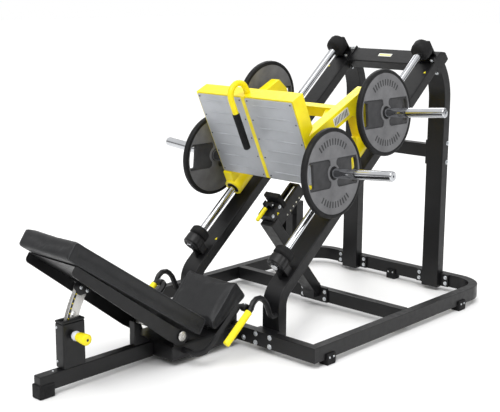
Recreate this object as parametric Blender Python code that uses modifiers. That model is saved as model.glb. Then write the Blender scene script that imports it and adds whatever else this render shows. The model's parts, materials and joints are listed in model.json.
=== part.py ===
"""Plate-loaded leg press machine with an inclined foot carriage.

Metres, +Z up. +X is the machine's width, +Y runs from the user's head end to the tall
rear frame. Every size below is measured from the floor, the middle plane and the front
face of the front cross-beam. At the end the whole machine is moved along Y, so that its
origin lies on the floor at the middle of its length.

Two tilted planes carry most of the machine:
  the slope frame (s, n): s runs up the guide rods, n is square to them
  the foot frame (w, t):  w runs rearward from the foot plate's face, t runs down it
"""

import math

import bmesh
import bpy
from mathutils import Matrix, Vector

# ---------------------------------------------------------------- driving dimensions
GAP = 0.0003                    # clearance between pieces that touch

# base
FOOT_CLEAR = 0.028              # height of the beams above the floor
BEAM_W = 0.050                  # beam section, across
BEAM_H = 0.075                  # beam section, upright
BEAM_TOP = FOOT_CLEAR + BEAM_H
BASE_HALF_WIDTH = 0.645
BASE_LENGTH = 1.563
REAR_CORNER_R = 0.180
MID_BEAM_Y = 0.779              # front face of the middle cross-beam

# inclined tubes and guide rods
SLOPE = math.radians(39.9)
TUBE_X = 0.298                  # middle of tubes, posts and guide rods, each side
TUBE_W = 0.110
TUBE_D = 0.060
TUBE_N = 0.165                  # top face of the inclined tubes, along n
TUBE_FRONT_Y = 0.077            # front face of the upright lower part
TUBE_BEND_R = 0.110
TUBE_END_S = 1.9075
FLANGE_HALF_W = 0.0553          # bolted flanges that join the tubes to the post heads
ROD_N = 0.247
ROD_R = 0.020
ROD_BLOCK_S = (0.345, 0.402)    # cup that holds a rod's lower end
ROD_BLOCK_R = 0.049

# rear posts
POST_FRONT_Y = 1.474
POST_BOTTOM = 0.020
POST_BEND_R = 0.300
POST_HEAD_S = 1.945             # where the bent post meets the slope
HEAD_BOTTOM_N = 0.080
HEAD_TOP_N = 0.168
HEAD_END_S = 2.018

# foot carriage
FOOT_TILT = math.radians(24.9)  # foot plate, from the vertical
FOOT_TOP = (0.183, 1.2156)      # y, z of the foot plate's top front edge
FOOT_HALF_W = 0.330
FOOT_LENGTH = 0.482
FOOT_BOX_DEPTH = 0.081
SHEET = 0.010                   # steel of the foot plate frame
ARM_X = (0.270, 0.330)
HOUSING_R = 0.050
HOUSING_BORE_R = 0.036
HOUSING_S = (0.758, 1.270)
LEVER_PIVOT = (0.702, 0.241)    # s, n of the stop lever's hinge

# loading horns and plates
HORN_R = 0.025
HORN_TILT = math.radians(4.8)
HORN_ROOT_X = FOOT_HALF_W + 0.001
PLATE_FACE_X = 0.427            # outer face of each weight plate, at its middle
HORN_END_X = 0.779
HORN_LOW = (0.393, 0.854)       # y, z of the plate's middle on the lower horns
HORN_HIGH = (0.815, 1.117)
PLATE_R = 0.225
PLATE_T = 0.032
PLATE_BORE_R = 0.0262
POCKET_NECK = 0.022             # half the width left between the two pockets
POCKET_HUB_R = 0.046
POCKET_RIM_R = 0.196
POCKET_HALF_B = 0.072           # half height of a pocket
SLOT_INNER = 0.149              # hand slot, from here to the pocket's outer end
SLOT_HALF_B = 0.060

# adjustable stop
RAIL_S = (0.635, 0.915)
RAIL_N = (0.100, 0.175)
RAIL_HALF_W = 0.035
LEG_S = (0.616, 0.676)
LEG_HALF_W = 0.043
STOP_STRUTS = ((0.500, 0.552, 0.350, 0.560),    # y and z ranges of the upright struts
               (0.586, 0.640, 0.300, 0.620))

# seat and backrest
PIVOT = (-0.400, 0.152)         # y, z of the backrest's pivot
RECLINE = math.radians(36.1)    # backrest above the horizontal
PAD_HALF_W = 0.181
PAD_L = (-0.108, 0.812)         # along the backrest from the pivot
PAD_T = 0.088                   # cushion, square to its base
PAD_TILT = math.radians(1.6)    # the cushion lifts off the shell toward the seat
SHELL_WALL_X = 0.168
SHELL_END = -0.746              # head end of the shell, toward the head from the pivot
SHELL_TOP = 0.0190
EAR_R = 0.018
SHAFT_R = 0.010
ARC_R = (0.496, 0.560)
RECLINE_STEP = math.radians(9.5)
POST_Y = (-0.968, -0.848)       # backrest post
POST_TOP = 0.309
PIN_Z = 0.255
SEAT_BASE_HALF_W = 0.158
SEAT_BASE_FRONT = -0.446
SEAT_BASE_TOP = 0.105
BEAM_END_Y = -1.091
BOOT_END_Y = BEAM_END_Y - 0.007
GRIP_BAR_R = 0.0140             # bent bars of the hand grips

ROUND = 24                      # segments of a round piece

# ---------------------------------------------------------------- scene and materials
for old in list(bpy.data.objects):
    bpy.data.objects.remove(old, do_unlink=True)

parts = bpy.data.collections.new("leg_press_machine")
cutters = bpy.data.collections.new("cutters")
for group in (parts, cutters):
    bpy.context.scene.collection.children.link(group)


def material(name, colour, roughness, metallic=0.0):
    mat = bpy.data.materials.new(name)
    mat.use_nodes = True
    shader = mat.node_tree.nodes["Principled BSDF"]
    shader.inputs["Base Color"].default_value = (*colour, 1.0)
    shader.inputs["Roughness"].default_value = roughness
    shader.inputs["Metallic"].default_value = metallic
    return mat


BLACK_PAINT = material("black_paint", (0.018, 0.018, 0.020), 0.42)
YELLOW_PAINT = material("yellow_paint", (0.80, 0.68, 0.01), 0.38)
CHROME = material("chrome", (0.80, 0.80, 0.82), 0.12, 1.0)
STEEL = material("stainless_steel", (0.62, 0.61, 0.60), 0.30, 1.0)
ALUMINIUM = material("aluminium", (0.55, 0.57, 0.60), 0.38, 0.7)
RUBBER = material("black_rubber", (0.020, 0.020, 0.022), 0.75)
PLATE_RUBBER = material("plate_rubber", (0.030, 0.031, 0.034), 0.60)
VINYL = material("black_vinyl", (0.022, 0.022, 0.024), 0.48)
PLASTIC = material("black_plastic", (0.020, 0.020, 0.022), 0.50)
GREY_PLASTIC = material("grey_plastic", (0.70, 0.71, 0.74), 0.35)
YELLOW_PLASTIC = material("yellow_plastic", (0.85, 0.72, 0.02), 0.40)

# ---------------------------------------------------------------- frames of reference
SLOPE_FRAME = Matrix.Rotation(SLOPE, 4, "X")
FOOT_FRAME = Matrix.Translation((0, *FOOT_TOP)) @ Matrix.Rotation(FOOT_TILT, 4, "X")
BACK_FRAME = Matrix.Translation((0, *PIVOT)) @ Matrix.Rotation(-RECLINE, 4, "X")
PAD_FRAME = (BACK_FRAME @ Matrix.Translation((0, SHELL_END, SHELL_TOP + GAP))
             @ Matrix.Rotation(PAD_TILT, 4, "X"))
FLAT = Matrix.Identity(4)


def slope_yz(s, n):
    """World (y, z) of a point given along and square to the guide rods."""
    return (s * math.cos(SLOPE) - n * math.sin(SLOPE),
            s * math.sin(SLOPE) + n * math.cos(SLOPE))


# ---------------------------------------------------------------- shape helpers
def adopt(name, mesh, mat, group=None, smooth=30.0):
    """Make an object from a mesh, with its material and shading."""
    obj = bpy.data.objects.new(name, mesh)
    (group or parts).objects.link(obj)
    mesh.materials.clear()
    mesh.materials.append(mat)
    mesh.shade_smooth()
    mesh.set_sharp_from_angle(angle=math.radians(smooth))
    return obj


def bevel(obj, width, segments=2):
    """Round the edges of an object."""
    mod = obj.modifiers.new("bevel", "BEVEL")
    mod.width = width
    mod.segments = segments
    mod.limit_method = "ANGLE"
    mod.angle_limit = math.radians(40)
    mod.harden_normals = False
    return obj


def box(name, low, high, mat, frame=FLAT, group=None):
    """A box between two corners, given in a frame of reference."""
    low, high = Vector(low), Vector(high)
    bm = bmesh.new()
    bmesh.ops.create_cube(bm, size=1.0)
    bmesh.ops.scale(bm, vec=high - low, verts=bm.verts)
    bmesh.ops.translate(bm, vec=(low + high) / 2, verts=bm.verts)
    mesh = bpy.data.meshes.new(name)
    bm.to_mesh(mesh)
    bm.free()
    obj = adopt(name, mesh, mat, group)
    obj.matrix_world = frame
    return obj


def mesh_of(obj):
    """The evaluated mesh of an object, with its caps welded."""
    bpy.context.view_layer.update()
    graph = bpy.context.evaluated_depsgraph_get()
    mesh = bpy.data.meshes.new_from_object(obj.evaluated_get(graph))
    bm = bmesh.new()
    bm.from_mesh(mesh)
    bmesh.ops.remove_doubles(bm, verts=bm.verts, dist=0.00002)
    bmesh.ops.recalc_face_normals(bm, faces=bm.faces)
    bm.to_mesh(mesh)
    bm.free()
    return mesh


def curve_to_mesh(name, curve, matrix, mat, group=None):
    """Turn a curve into a mesh object in the given place."""
    temp = bpy.data.objects.new(name + "_curve", curve)
    parts.objects.link(temp)
    mesh = mesh_of(temp)
    bpy.data.objects.remove(temp)
    obj = adopt(name, mesh, mat, group)
    obj.matrix_world = matrix
    return obj


def outline(name, loops, thickness, mat, matrix=FLAT, group=None):
    """A flat outline, with holes, extruded both ways from its own plane."""
    curve = bpy.data.curves.new(name, "CURVE")
    curve.dimensions = "2D"
    curve.fill_mode = "BOTH"
    curve.extrude = thickness / 2
    for loop in loops:
        spline = curve.splines.new("POLY")
        spline.points.add(len(loop) - 1)
        for point, (a, b) in zip(spline.points, loop):
            point.co = (a, b, 0, 1)
        spline.use_cyclic_u = True
    return curve_to_mesh(name, curve, matrix, mat, group)


def across(frame, x):
    """Places an outline's plane square to X: its own axes become the frame's Y and Z."""
    turn = Matrix(((0, 0, 1, x), (1, 0, 0, 0), (0, 1, 0, 0), (0, 0, 0, 1)))
    return frame @ turn


def foot_side(x):
    """Places an outline drawn in (w, t) square to X; t runs down the foot plate."""
    turn = Matrix(((0, 0, -1, x), (1, 0, 0, 0), (0, -1, 0, 0), (0, 0, 0, 1)))
    return FOOT_FRAME @ turn


def path_tube(name, points, radius, mat, frame=FLAT, resolution=3):
    """A round bar along a list of points."""
    curve = bpy.data.curves.new(name, "CURVE")
    curve.dimensions = "3D"
    curve.bevel_depth = radius
    curve.bevel_resolution = resolution
    curve.use_fill_caps = True
    spline = curve.splines.new("POLY")
    spline.points.add(len(points) - 1)
    for point, place in zip(spline.points, points):
        point.co = (*place, 1)
    return curve_to_mesh(name, curve, frame, mat)


def turned(name, profile, mat, matrix=FLAT, segments=ROUND, group=None):
    """A turned solid: (radius, height) points from the top down, round its own Z axis."""
    mesh = bpy.data.meshes.new(name)
    bm = bmesh.new()
    verts = [bm.verts.new((radius, 0, height)) for radius, height in profile]
    for first, second in zip(verts, verts[1:]):
        bm.edges.new((first, second))
    bm.to_mesh(mesh)
    bm.free()
    temp = bpy.data.objects.new(name + "_profile", mesh)
    parts.objects.link(temp)
    screw = temp.modifiers.new("screw", "SCREW")
    screw.steps = segments
    screw.render_steps = segments
    screw.use_merge_vertices = True
    screw.merge_threshold = 0.0001
    solid = mesh_of(temp)
    bpy.data.objects.remove(temp)
    obj = adopt(name, solid, mat, group)
    obj.matrix_world = matrix
    return obj


def ring(name, inner, outer, low, high, mat, matrix, edge=0.0, segments=ROUND):
    """A ring or sleeve round its own Z axis, with its outer edges cut back."""
    profile = [(inner, high), (outer - edge, high), (outer, high - edge),
               (outer, low + edge), (outer - edge, low), (inner, low), (inner, high)]
    if not edge:
        profile = [(inner, high), (outer, high), (outer, low), (inner, low), (inner, high)]
    return turned(name, profile, mat, matrix, segments)


def rod(name, radius, low, high, mat, matrix, edge=0.0, segments=ROUND, group=None):
    """A solid cylinder round its own Z axis, with its end edges cut back."""
    if edge:
        profile = [(0, high), (radius - edge, high), (radius, high - edge),
                   (radius, low + edge), (radius - edge, low), (0, low)]
    else:
        profile = [(0, high), (radius, high), (radius, low), (0, low)]
    return turned(name, profile, mat, matrix, segments, group)


def pivot_at(obj, y, z):
    """Move an object's origin onto the line along X through (y, z)."""
    point = Vector((0, y, z))
    local = obj.matrix_world.inverted() @ point
    obj.data.transform(Matrix.Translation(-local))
    obj.matrix_world = obj.matrix_world @ Matrix.Translation(local)


def boolean(obj, others, operation):
    """Join others to obj, or cut them from it, and drop the others."""
    for other in others:
        mod = obj.modifiers.new(operation.lower(), "BOOLEAN")
        mod.operation = operation
        mod.object = other
        mod.solver = "EXACT"
    bpy.context.view_layer.update()
    mesh = mesh_of(obj)
    matrix = obj.matrix_world.copy()
    name, mat, group = obj.name, obj.data.materials[0], obj.users_collection[0]
    bpy.data.objects.remove(obj)
    for other in others:
        bpy.data.objects.remove(other)
    made = adopt(name, mesh, mat, group)
    made.matrix_world = matrix
    return made


def join(obj, *others):
    return boolean(obj, others, "UNION")


def cut(obj, *others):
    return boolean(obj, others, "DIFFERENCE")


def cutter_box(low, high, frame=FLAT):
    obj = box("cutter", low, high, BLACK_PAINT, frame, cutters)
    obj.hide_render = True
    obj.display_type = "WIRE"
    return obj


def cutter_rod(radius, low, high, matrix):
    obj = rod("cutter", radius, low, high, BLACK_PAINT, matrix, group=cutters)
    obj.hide_render = True
    obj.display_type = "WIRE"
    return obj


def along_slope(x, n):
    """A matrix whose Z axis runs up the slope at (x, n), measured by s."""
    return (SLOPE_FRAME @ Matrix.Translation((x, 0, n))
            @ Matrix.Rotation(-math.pi / 2, 4, "X"))


def along_x(y, z, x=0.0):
    """A matrix whose Z axis runs along +X through (x, y, z)."""
    return Matrix.Translation((x, y, z)) @ Matrix.Rotation(math.pi / 2, 4, "Y")


def arc(centre, radius, start, stop, steps):
    """Points on an arc, angles in degrees."""
    return [(centre[0] + radius * math.cos(math.radians(start + (stop - start) * i / steps)),
             centre[1] + radius * math.sin(math.radians(start + (stop - start) * i / steps)))
            for i in range(steps + 1)]


def bent_bar(start, corner, end, radius, half_depth, steps=8):
    """Outline of a flat bar along two straight runs joined by one bend."""
    start, corner, end = Vector(start), Vector(corner), Vector(end)
    first = (corner - start).normalized()
    second = (end - corner).normalized()
    turn = first.angle_signed(second)          # positive when turning clockwise
    tangent = radius * math.tan(abs(turn) / 2)
    centres = [(start, first)]
    for i in range(steps + 1):
        part = turn * i / steps
        heading = Matrix.Rotation(-part, 2) @ first
        side = Vector((heading.y, -heading.x)) * (1 if turn > 0 else -1)
        if i == 0:
            middle = corner - first * tangent + side * radius
        centres.append((middle - side * radius, heading))
    centres.append((end, second))
    left = [p + Vector((-d.y, d.x)) * half_depth for p, d in centres]
    right = [p - Vector((-d.y, d.x)) * half_depth for p, d in centres]
    return [tuple(p) for p in left] + [tuple(p) for p in reversed(right)]


# ---------------------------------------------------------------- base frame
def base_frame():
    """Welded floor frame: mitred front corners, swept rear corners."""
    def loop(inset, corner_r):
        half = BASE_HALF_WIDTH - inset
        back = BASE_LENGTH - inset
        right = arc((half - corner_r, back - corner_r), corner_r, 0, 90, 8)
        left = arc((corner_r - half, back - corner_r), corner_r, 90, 180, 8)
        return [(half, inset)] + right + left + [(-half, inset)]

    place = Matrix.Translation((0, 0, FOOT_CLEAR + BEAM_H / 2))
    loops = [loop(0, REAR_CORNER_R), loop(BEAM_W, REAR_CORNER_R - BEAM_W)]
    frame = outline("base_frame", loops, BEAM_H, BLACK_PAINT, place)
    bevel(frame, 0.006)


def mid_cross_beam():
    half = BASE_HALF_WIDTH - BEAM_W - GAP
    beam = box("mid_cross_beam", (-half, MID_BEAM_Y, FOOT_CLEAR),
               (half, MID_BEAM_Y + BEAM_W, BEAM_TOP), BLACK_PAINT)
    bevel(beam, 0.006)


def side_foot(side, word, place_y, where):
    """Rubber foot that wraps the outside of a side beam."""
    outer = BASE_HALF_WIDTH + 0.012
    low = FOOT_CLEAR - GAP
    shape = [(outer - 0.004, 0), (outer, 0.006), (outer, 0.050), (outer - 0.004, 0.056),
             (BASE_HALF_WIDTH + GAP, 0.056), (BASE_HALF_WIDTH + GAP, low),
             (BASE_HALF_WIDTH - BEAM_W, low), (BASE_HALF_WIDTH - 0.040, 0)]
    turn = Matrix(((side, 0, 0, 0), (0, 0, -side, place_y), (0, 1, 0, 0), (0, 0, 0, 1)))
    outline(f"foot_{where}_{word}", [shape], 0.060, RUBBER, turn)


def rear_foot():
    """Rubber foot under the middle of the rear beam."""
    face = BASE_LENGTH - BEAM_W - GAP
    low = FOOT_CLEAR - GAP
    shape = [(face - 0.008, 0), (face - 0.012, 0.006), (face - 0.012, 0.052),
             (face - 0.008, 0.058), (face, 0.058), (face, low),
             (BASE_LENGTH, low), (BASE_LENGTH - 0.010, 0)]
    outline("foot_rear_middle", [shape], 0.060, RUBBER, across(FLAT, 0.0))


# ---------------------------------------------------------------- tubes and posts
def main_tube(side, word):
    """Inclined tube, bent upright at the bottom, with its bolting flanges."""
    x = side * TUBE_X
    middle_n = TUBE_N - TUBE_D / 2
    middle_y = TUBE_FRONT_Y + TUBE_D / 2
    corner_s = (middle_y + middle_n * math.sin(SLOPE)) / math.cos(SLOPE)
    shape = bent_bar((middle_y, FOOT_CLEAR), slope_yz(corner_s, middle_n),
                     slope_yz(TUBE_END_S, middle_n), TUBE_BEND_R, TUBE_D / 2)
    tube = outline(f"main_tube_{word}", [shape], TUBE_W, BLACK_PAINT, across(FLAT, x))
    bevel(tube, 0.007)
    block = box("base_flange", (x - 0.065, BEAM_W + GAP, FOOT_CLEAR),
                (x + 0.065, TUBE_FRONT_Y + 0.001, BEAM_TOP - 0.003), BLACK_PAINT)
    end = box("end_flange", (x - FLANGE_HALF_W, TUBE_END_S - 0.010, 0.075),
              (x + FLANGE_HALF_W, TUBE_END_S, 0.186), BLACK_PAINT, SLOPE_FRAME)
    join(tube, block, end)


def rear_post(side, word):
    """Upright post, bent forward at the top, with a head that ends the tube's line."""
    x = side * TUBE_X
    middle_y = POST_FRONT_Y + TUBE_D / 2
    # the bent part is square to the slope, so its line is s = POST_HEAD_S
    corner_n = (POST_HEAD_S * math.cos(SLOPE) - middle_y) / math.sin(SLOPE)
    shape = bent_bar((middle_y, POST_BOTTOM), slope_yz(POST_HEAD_S, corner_n),
                     slope_yz(POST_HEAD_S, HEAD_BOTTOM_N + 0.015), POST_BEND_R, TUBE_D / 2)
    post = outline(f"rear_post_{word}", [shape], TUBE_W, BLACK_PAINT, across(FLAT, x))
    bevel(post, 0.007)
    start = TUBE_END_S + GAP
    head_shape = [(start, HEAD_BOTTOM_N), (HEAD_END_S, HEAD_BOTTOM_N),
                  (HEAD_END_S, HEAD_TOP_N - 0.036), (HEAD_END_S - 0.035, HEAD_TOP_N),
                  (start, HEAD_TOP_N)]
    head = outline("head", [head_shape], TUBE_W - 0.002, BLACK_PAINT,
                   across(SLOPE_FRAME, x))
    bevel(head, 0.006)
    head_flange = box("head_flange", (x - FLANGE_HALF_W, start, 0.075),
                      (x + FLANGE_HALF_W, start + 0.010, 0.186), BLACK_PAINT, SLOPE_FRAME)
    beam_face = BASE_LENGTH - BEAM_W - GAP
    foot_flange = box("foot_flange", (x - 0.110, beam_face - 0.010, FOOT_CLEAR + 0.001),
                      (x + 0.110, beam_face, BEAM_TOP - 0.001), BLACK_PAINT)
    rod_bracket = box("rod_bracket", (x - 0.036, 1.9455, HEAD_TOP_N - 0.010),
                      (x + 0.036, 1.9580, 0.272), BLACK_PAINT, SLOPE_FRAME)
    bevel(rod_bracket, 0.004)
    notch = cutter_box((x - 0.2, beam_face, -0.1), (x + 0.2, BASE_LENGTH + 0.1, BEAM_TOP + GAP))
    cut(join(post, head, head_flange, foot_flange, rod_bracket), notch)


def top_cross_beam():
    """Box beam between the upper ends of the tubes, square to the slope."""
    half = TUBE_X - FLANGE_HALF_W - GAP
    beam = box("top_cross_beam", (-half, 1.875, TUBE_N - TUBE_D), (half, 1.985, TUBE_N),
               BLACK_PAINT, SLOPE_FRAME)
    bevel(beam, 0.006)
    ends = [box("end", (min(a, b), 1.868, 0.098), (max(a, b), 1.992, 0.172),
                BLACK_PAINT, SLOPE_FRAME)
            for a, b in ((half - 0.008, half), (-half, 0.008 - half))]
    join(beam, *ends)


def rear_cross_brace():
    """Brace between the posts, half way up."""
    half = TUBE_X - TUBE_W / 2 - GAP
    middle = POST_FRONT_Y + TUBE_D / 2
    brace = box("rear_cross_brace", (-half, middle - 0.025, 0.785), (half, middle + 0.025, 0.863),
                BLACK_PAINT)
    bevel(brace, 0.006)
    ends = [box("end", (min(a, b), middle - 0.028, 0.747), (max(a, b), middle + 0.028, 0.887),
                BLACK_PAINT)
            for a, b in ((half - 0.008, half), (-half, 0.008 - half))]
    join(brace, *ends)


# ---------------------------------------------------------------- guide rods
def guide_rod(side, word):
    place = along_slope(side * TUBE_X, ROD_N)
    rod(f"guide_rod_{word}", ROD_R, ROD_BLOCK_S[0] - 0.008, 1.945, CHROME, place, 0.002)

    # a turned cup holds the rod's end, on a saddle and a rib that stand on the tube
    low_s, high_s = ROD_BLOCK_S
    cup = rod(f"rod_block_{word}", ROD_BLOCK_R, low_s, high_s, BLACK_PAINT, place, 0.006)
    seat_frame = SLOPE_FRAME @ Matrix.Translation((side * TUBE_X, 0, 0))
    saddle = box("saddle", (-0.036, low_s + 0.008, TUBE_N + GAP), (0.036, high_s - 0.006, ROD_N),
                 BLACK_PAINT, seat_frame)
    rib_shape = [(low_s - 0.018, TUBE_N + GAP), (low_s + 0.020, TUBE_N + GAP),
                 (low_s + 0.020, ROD_N - 0.012), (low_s - 0.004, ROD_N - 0.022)]
    rib = outline("rib", [rib_shape], 0.012, BLACK_PAINT, across(SLOPE_FRAME, side * TUBE_X))
    cut(join(cup, saddle, rib), cutter_rod(ROD_R + GAP, low_s - 0.1, high_s + 0.1, place))

    ring(f"lower_bumper_{word}", ROD_R + GAP, 0.051, 0.402 + GAP, 0.452, RUBBER, place, 0.010)
    bore = ROD_R + GAP
    dome = [(bore, 1.945), (0.036, 1.945), (0.050, 1.938), (0.056, 1.925), (0.056, 1.892),
            (0.052, 1.876), (0.042, 1.867), (0.030, 1.865), (bore, 1.865), (bore, 1.945)]
    turned(f"upper_bumper_{word}", dome, RUBBER, place)


# ---------------------------------------------------------------- foot carriage
def foot_box(name, low, high):
    """A box given by (x, w, t) corners in the foot frame."""
    return box(name, (low[0], low[1], -high[2]), (high[0], high[1], -low[2]),
               YELLOW_PAINT, FOOT_FRAME)


def side_frame(side):
    """Arm, upright and horn seat of one side, then the strut to the bearing housing."""
    x = side * (ARM_X[0] + ARM_X[1]) / 2
    width = ARM_X[1] - ARM_X[0]
    upper = [(0.004, 0.217), (0.540, 0.217), (0.575, 0.290), (0.575, 0.362),
             (0.468, 0.394), (0.462, 0.470), (0.400, 0.480), (0.400, 0.318),
             (0.380, 0.298), (0.004, 0.298)]
    lower = [(0.004, 0.365), (0.100, 0.365), (0.360, 0.410), (0.360, 0.470),
             (0.090, 0.530), (0.030, 0.560), (-0.012, 0.560), (-0.012, 0.490),
             (0.003, 0.484)]
    pieces = []
    for label, shape, wide in (("upper", upper, width), ("lower", lower, width - 0.002)):
        piece = outline(label, [shape], wide, YELLOW_PAINT, foot_side(x))
        bevel(piece, 0.004)
        pieces.append(piece)
    housing = rod("housing", HOUSING_R, *HOUSING_S, YELLOW_PAINT,
                  along_slope(side * TUBE_X, ROD_N), 0.003)
    return pieces + [housing]


def carriage_frame():
    """Welded foot carriage: foot plate frame, arms, bearing housings and stop fin."""
    half = FOOT_HALF_W
    depth = FOOT_BOX_DEPTH
    profile = [(0, 0), (depth, 0), (depth, 0.194), (SHEET, 0.232), (SHEET, FOOT_LENGTH),
               (0, FOOT_LENGTH)]
    frame = outline("carriage_frame", [profile], 2 * half, YELLOW_PAINT, foot_side(0))
    hollow = [(SHEET, SHEET), (depth + 0.02, SHEET), (depth + 0.02, 0.172), (SHEET, 0.2207)]
    inside = outline("inside", [hollow], 2 * (half - SHEET), YELLOW_PAINT, foot_side(0))
    frame = cut(frame, inside)
    strip = foot_box("strip", (-0.0115, -0.006, 0.001), (0.0115, 0.005, FOOT_LENGTH - 0.001))
    cross = foot_box("cross", (-ARM_X[0] - 0.01, 0.334, 0.235), (ARM_X[0] + 0.01, 0.368, 0.294))
    fin_shape = [(0.005, 0.370), (0.120, 0.370), (0.185, 0.520), (0.185, 0.590),
                 (0.145, 0.602), (0.1026, 0.444), (0.005, 0.440)]
    fin = outline("fin", [fin_shape], 0.030, YELLOW_PAINT, foot_side(0))
    gussets = []
    for side in (1, -1):
        shape = [(side * 0.275, 0.340), (side * 0.200, 0.340), (side * 0.275, 0.160)]
        place = FOOT_FRAME @ Matrix.Translation((0, 0, -0.250))
        gussets.append(outline("gusset", [shape], 0.006, YELLOW_PAINT, place))
    frame = join(frame, strip, cross, fin, *gussets, *side_frame(1), *side_frame(-1))
    for side in (1, -1):
        place = along_slope(side * TUBE_X, ROD_N)
        frame = cut(frame, cutter_rod(HOUSING_BORE_R, HOUSING_S[0] - 0.1, HOUSING_S[1] + 0.1,
                                      place))


def foot_panel(side, word):
    """Aluminium tread plate on one half of the foot plate."""
    inner, outer = 0.0118, FOOT_HALF_W - 0.008
    top, bottom = 0.008, FOOT_LENGTH
    r = 0.014
    shape = [(inner, -top), (inner, -bottom), (outer, -bottom)]
    shape += arc((outer - r, -top - r), r, 0, 90, 4)
    turn = Matrix(((side, 0, 0, 0), (0, 0, -side, -0.0028), (0, 1, 0, 0), (0, 0, 0, 1)))
    outline(f"foot_panel_{word}", [shape], 0.005, ALUMINIUM, FOOT_FRAME @ turn)


def carriage_handle():
    """Hand loop from the top of the foot plate, down in front of it."""
    rear_w, front_w, rise = 0.038, -0.078, 0.020
    radius = (rear_w - front_w) / 2
    loop = arc(((rear_w + front_w) / 2, rise), radius, 0, 180, 12)
    points = [(0, rear_w, GAP)] + [(0, w, up) for w, up in loop] + [(0, front_w, -0.055)]
    path_tube("carriage_handle", points, 0.016, YELLOW_PAINT, FOOT_FRAME)
    place = FOOT_FRAME @ Matrix.Translation((0, front_w, 0))
    profile = [(0, -0.0553), (0.018, -0.0553), (0.018, -0.250), (0.013, -0.259), (0, -0.262)]
    turned("carriage_handle_grip", profile, RUBBER, place, 24)


# ---------------------------------------------------------------- horns and plates
def horn_matrix(side, place):
    """Z axis outward along a horn, origin where it meets the carriage."""
    y, z = place
    root_z = z - (PLATE_FACE_X - HORN_ROOT_X) * math.tan(HORN_TILT)
    turn = Matrix.Rotation(side * (math.pi / 2 - HORN_TILT), 4, "Y")
    return Matrix.Translation((side * HORN_ROOT_X, y, root_z)) @ turn


def pocket_outline():
    """One side's recess in a plate: from the neck and the hub's circle out to the rim."""
    neck, half = POCKET_NECK, POCKET_HALF_B
    hub_angle = math.degrees(math.acos(neck / POCKET_HUB_R))
    rim_angle = math.degrees(math.asin(half / POCKET_RIM_R))
    chamfer = 0.012
    rim = arc((0, 0), POCKET_RIM_R, -rim_angle, rim_angle, 4)
    hub = arc((0, 0), POCKET_HUB_R, hub_angle, -hub_angle, 6)
    return ([(neck, chamfer - half), (neck + chamfer, -half)] + rim
            + [(neck + chamfer, half), (neck, half - chamfer)] + hub)


def slot_outline():
    """The hand slot through a pocket's outer end."""
    reach = POCKET_RIM_R - 0.001
    angle = math.degrees(math.asin(SLOT_HALF_B / reach))
    return ([(SLOT_INNER, -SLOT_HALF_B)] + arc((0, 0), reach, -angle, angle, 3)
            + [(SLOT_INNER, SLOT_HALF_B)])


def horn_and_plate(side, word, place, level):
    reach = math.cos(HORN_TILT)
    length = (HORN_END_X - HORN_ROOT_X) / reach
    face = (PLATE_FACE_X - HORN_ROOT_X) / reach
    matrix = horn_matrix(side, place)
    profile = [(0.006, length - 0.012), (0.006, length), (HORN_R - 0.006, length),
               (HORN_R - 0.002, length - 0.002), (HORN_R, length - 0.006),
               (HORN_R, face - PLATE_T - 0.001), (0.032, face - PLATE_T - 0.001),
               (0.032, 0.016), (0.035, 0.014), (0.035, -0.008), (0, -0.008)]
    profile.insert(0, (0, length - 0.012))
    horn = turned(f"horn_{level}_{word}", profile, CHROME, matrix)
    wall = FOOT_HALF_W + GAP
    cut(horn, cutter_box((-wall, place[0] - 0.2, place[1] - 0.2),
                         (wall, place[0] + 0.2, place[1] + 0.2)))

    low, high = face - PLATE_T, face
    rim = 0.205
    shape = [(PLATE_BORE_R, high), (0.044, high), (0.046, high - 0.003), (rim - 0.003, high - 0.003),
             (rim, high), (PLATE_R - 0.008, high), (PLATE_R, high - 0.008),
             (PLATE_R, low + 0.008), (PLATE_R - 0.008, low), (rim, low), (rim - 0.003, low + 0.003),
             (0.046, low + 0.003), (0.044, low), (PLATE_BORE_R, low), (PLATE_BORE_R, high)]
    plate = turned(f"plate_{level}_{word}", shape, PLATE_RUBBER, matrix, 40)
    turned_by = Matrix.Rotation(math.pi / 2, 4, "Z")
    hollows = []
    for hand in (1, -1):
        pocket = [(hand * a, b) for a, b in pocket_outline()]
        slot = [(hand * a, b) for a, b in slot_outline()]
        for label, shape, depth, height in (("pocket", pocket, 0.006, high - 0.0055),
                                            ("pocket", pocket, 0.006, low + 0.0055),
                                            ("slot", slot, 0.080, (low + high) / 2)):
            place_cut = matrix @ turned_by @ Matrix.Translation((0, 0, height))
            hollows.append(outline(label, [shape], depth, PLATE_RUBBER, place_cut, cutters))
    cut(plate, *hollows)


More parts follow.
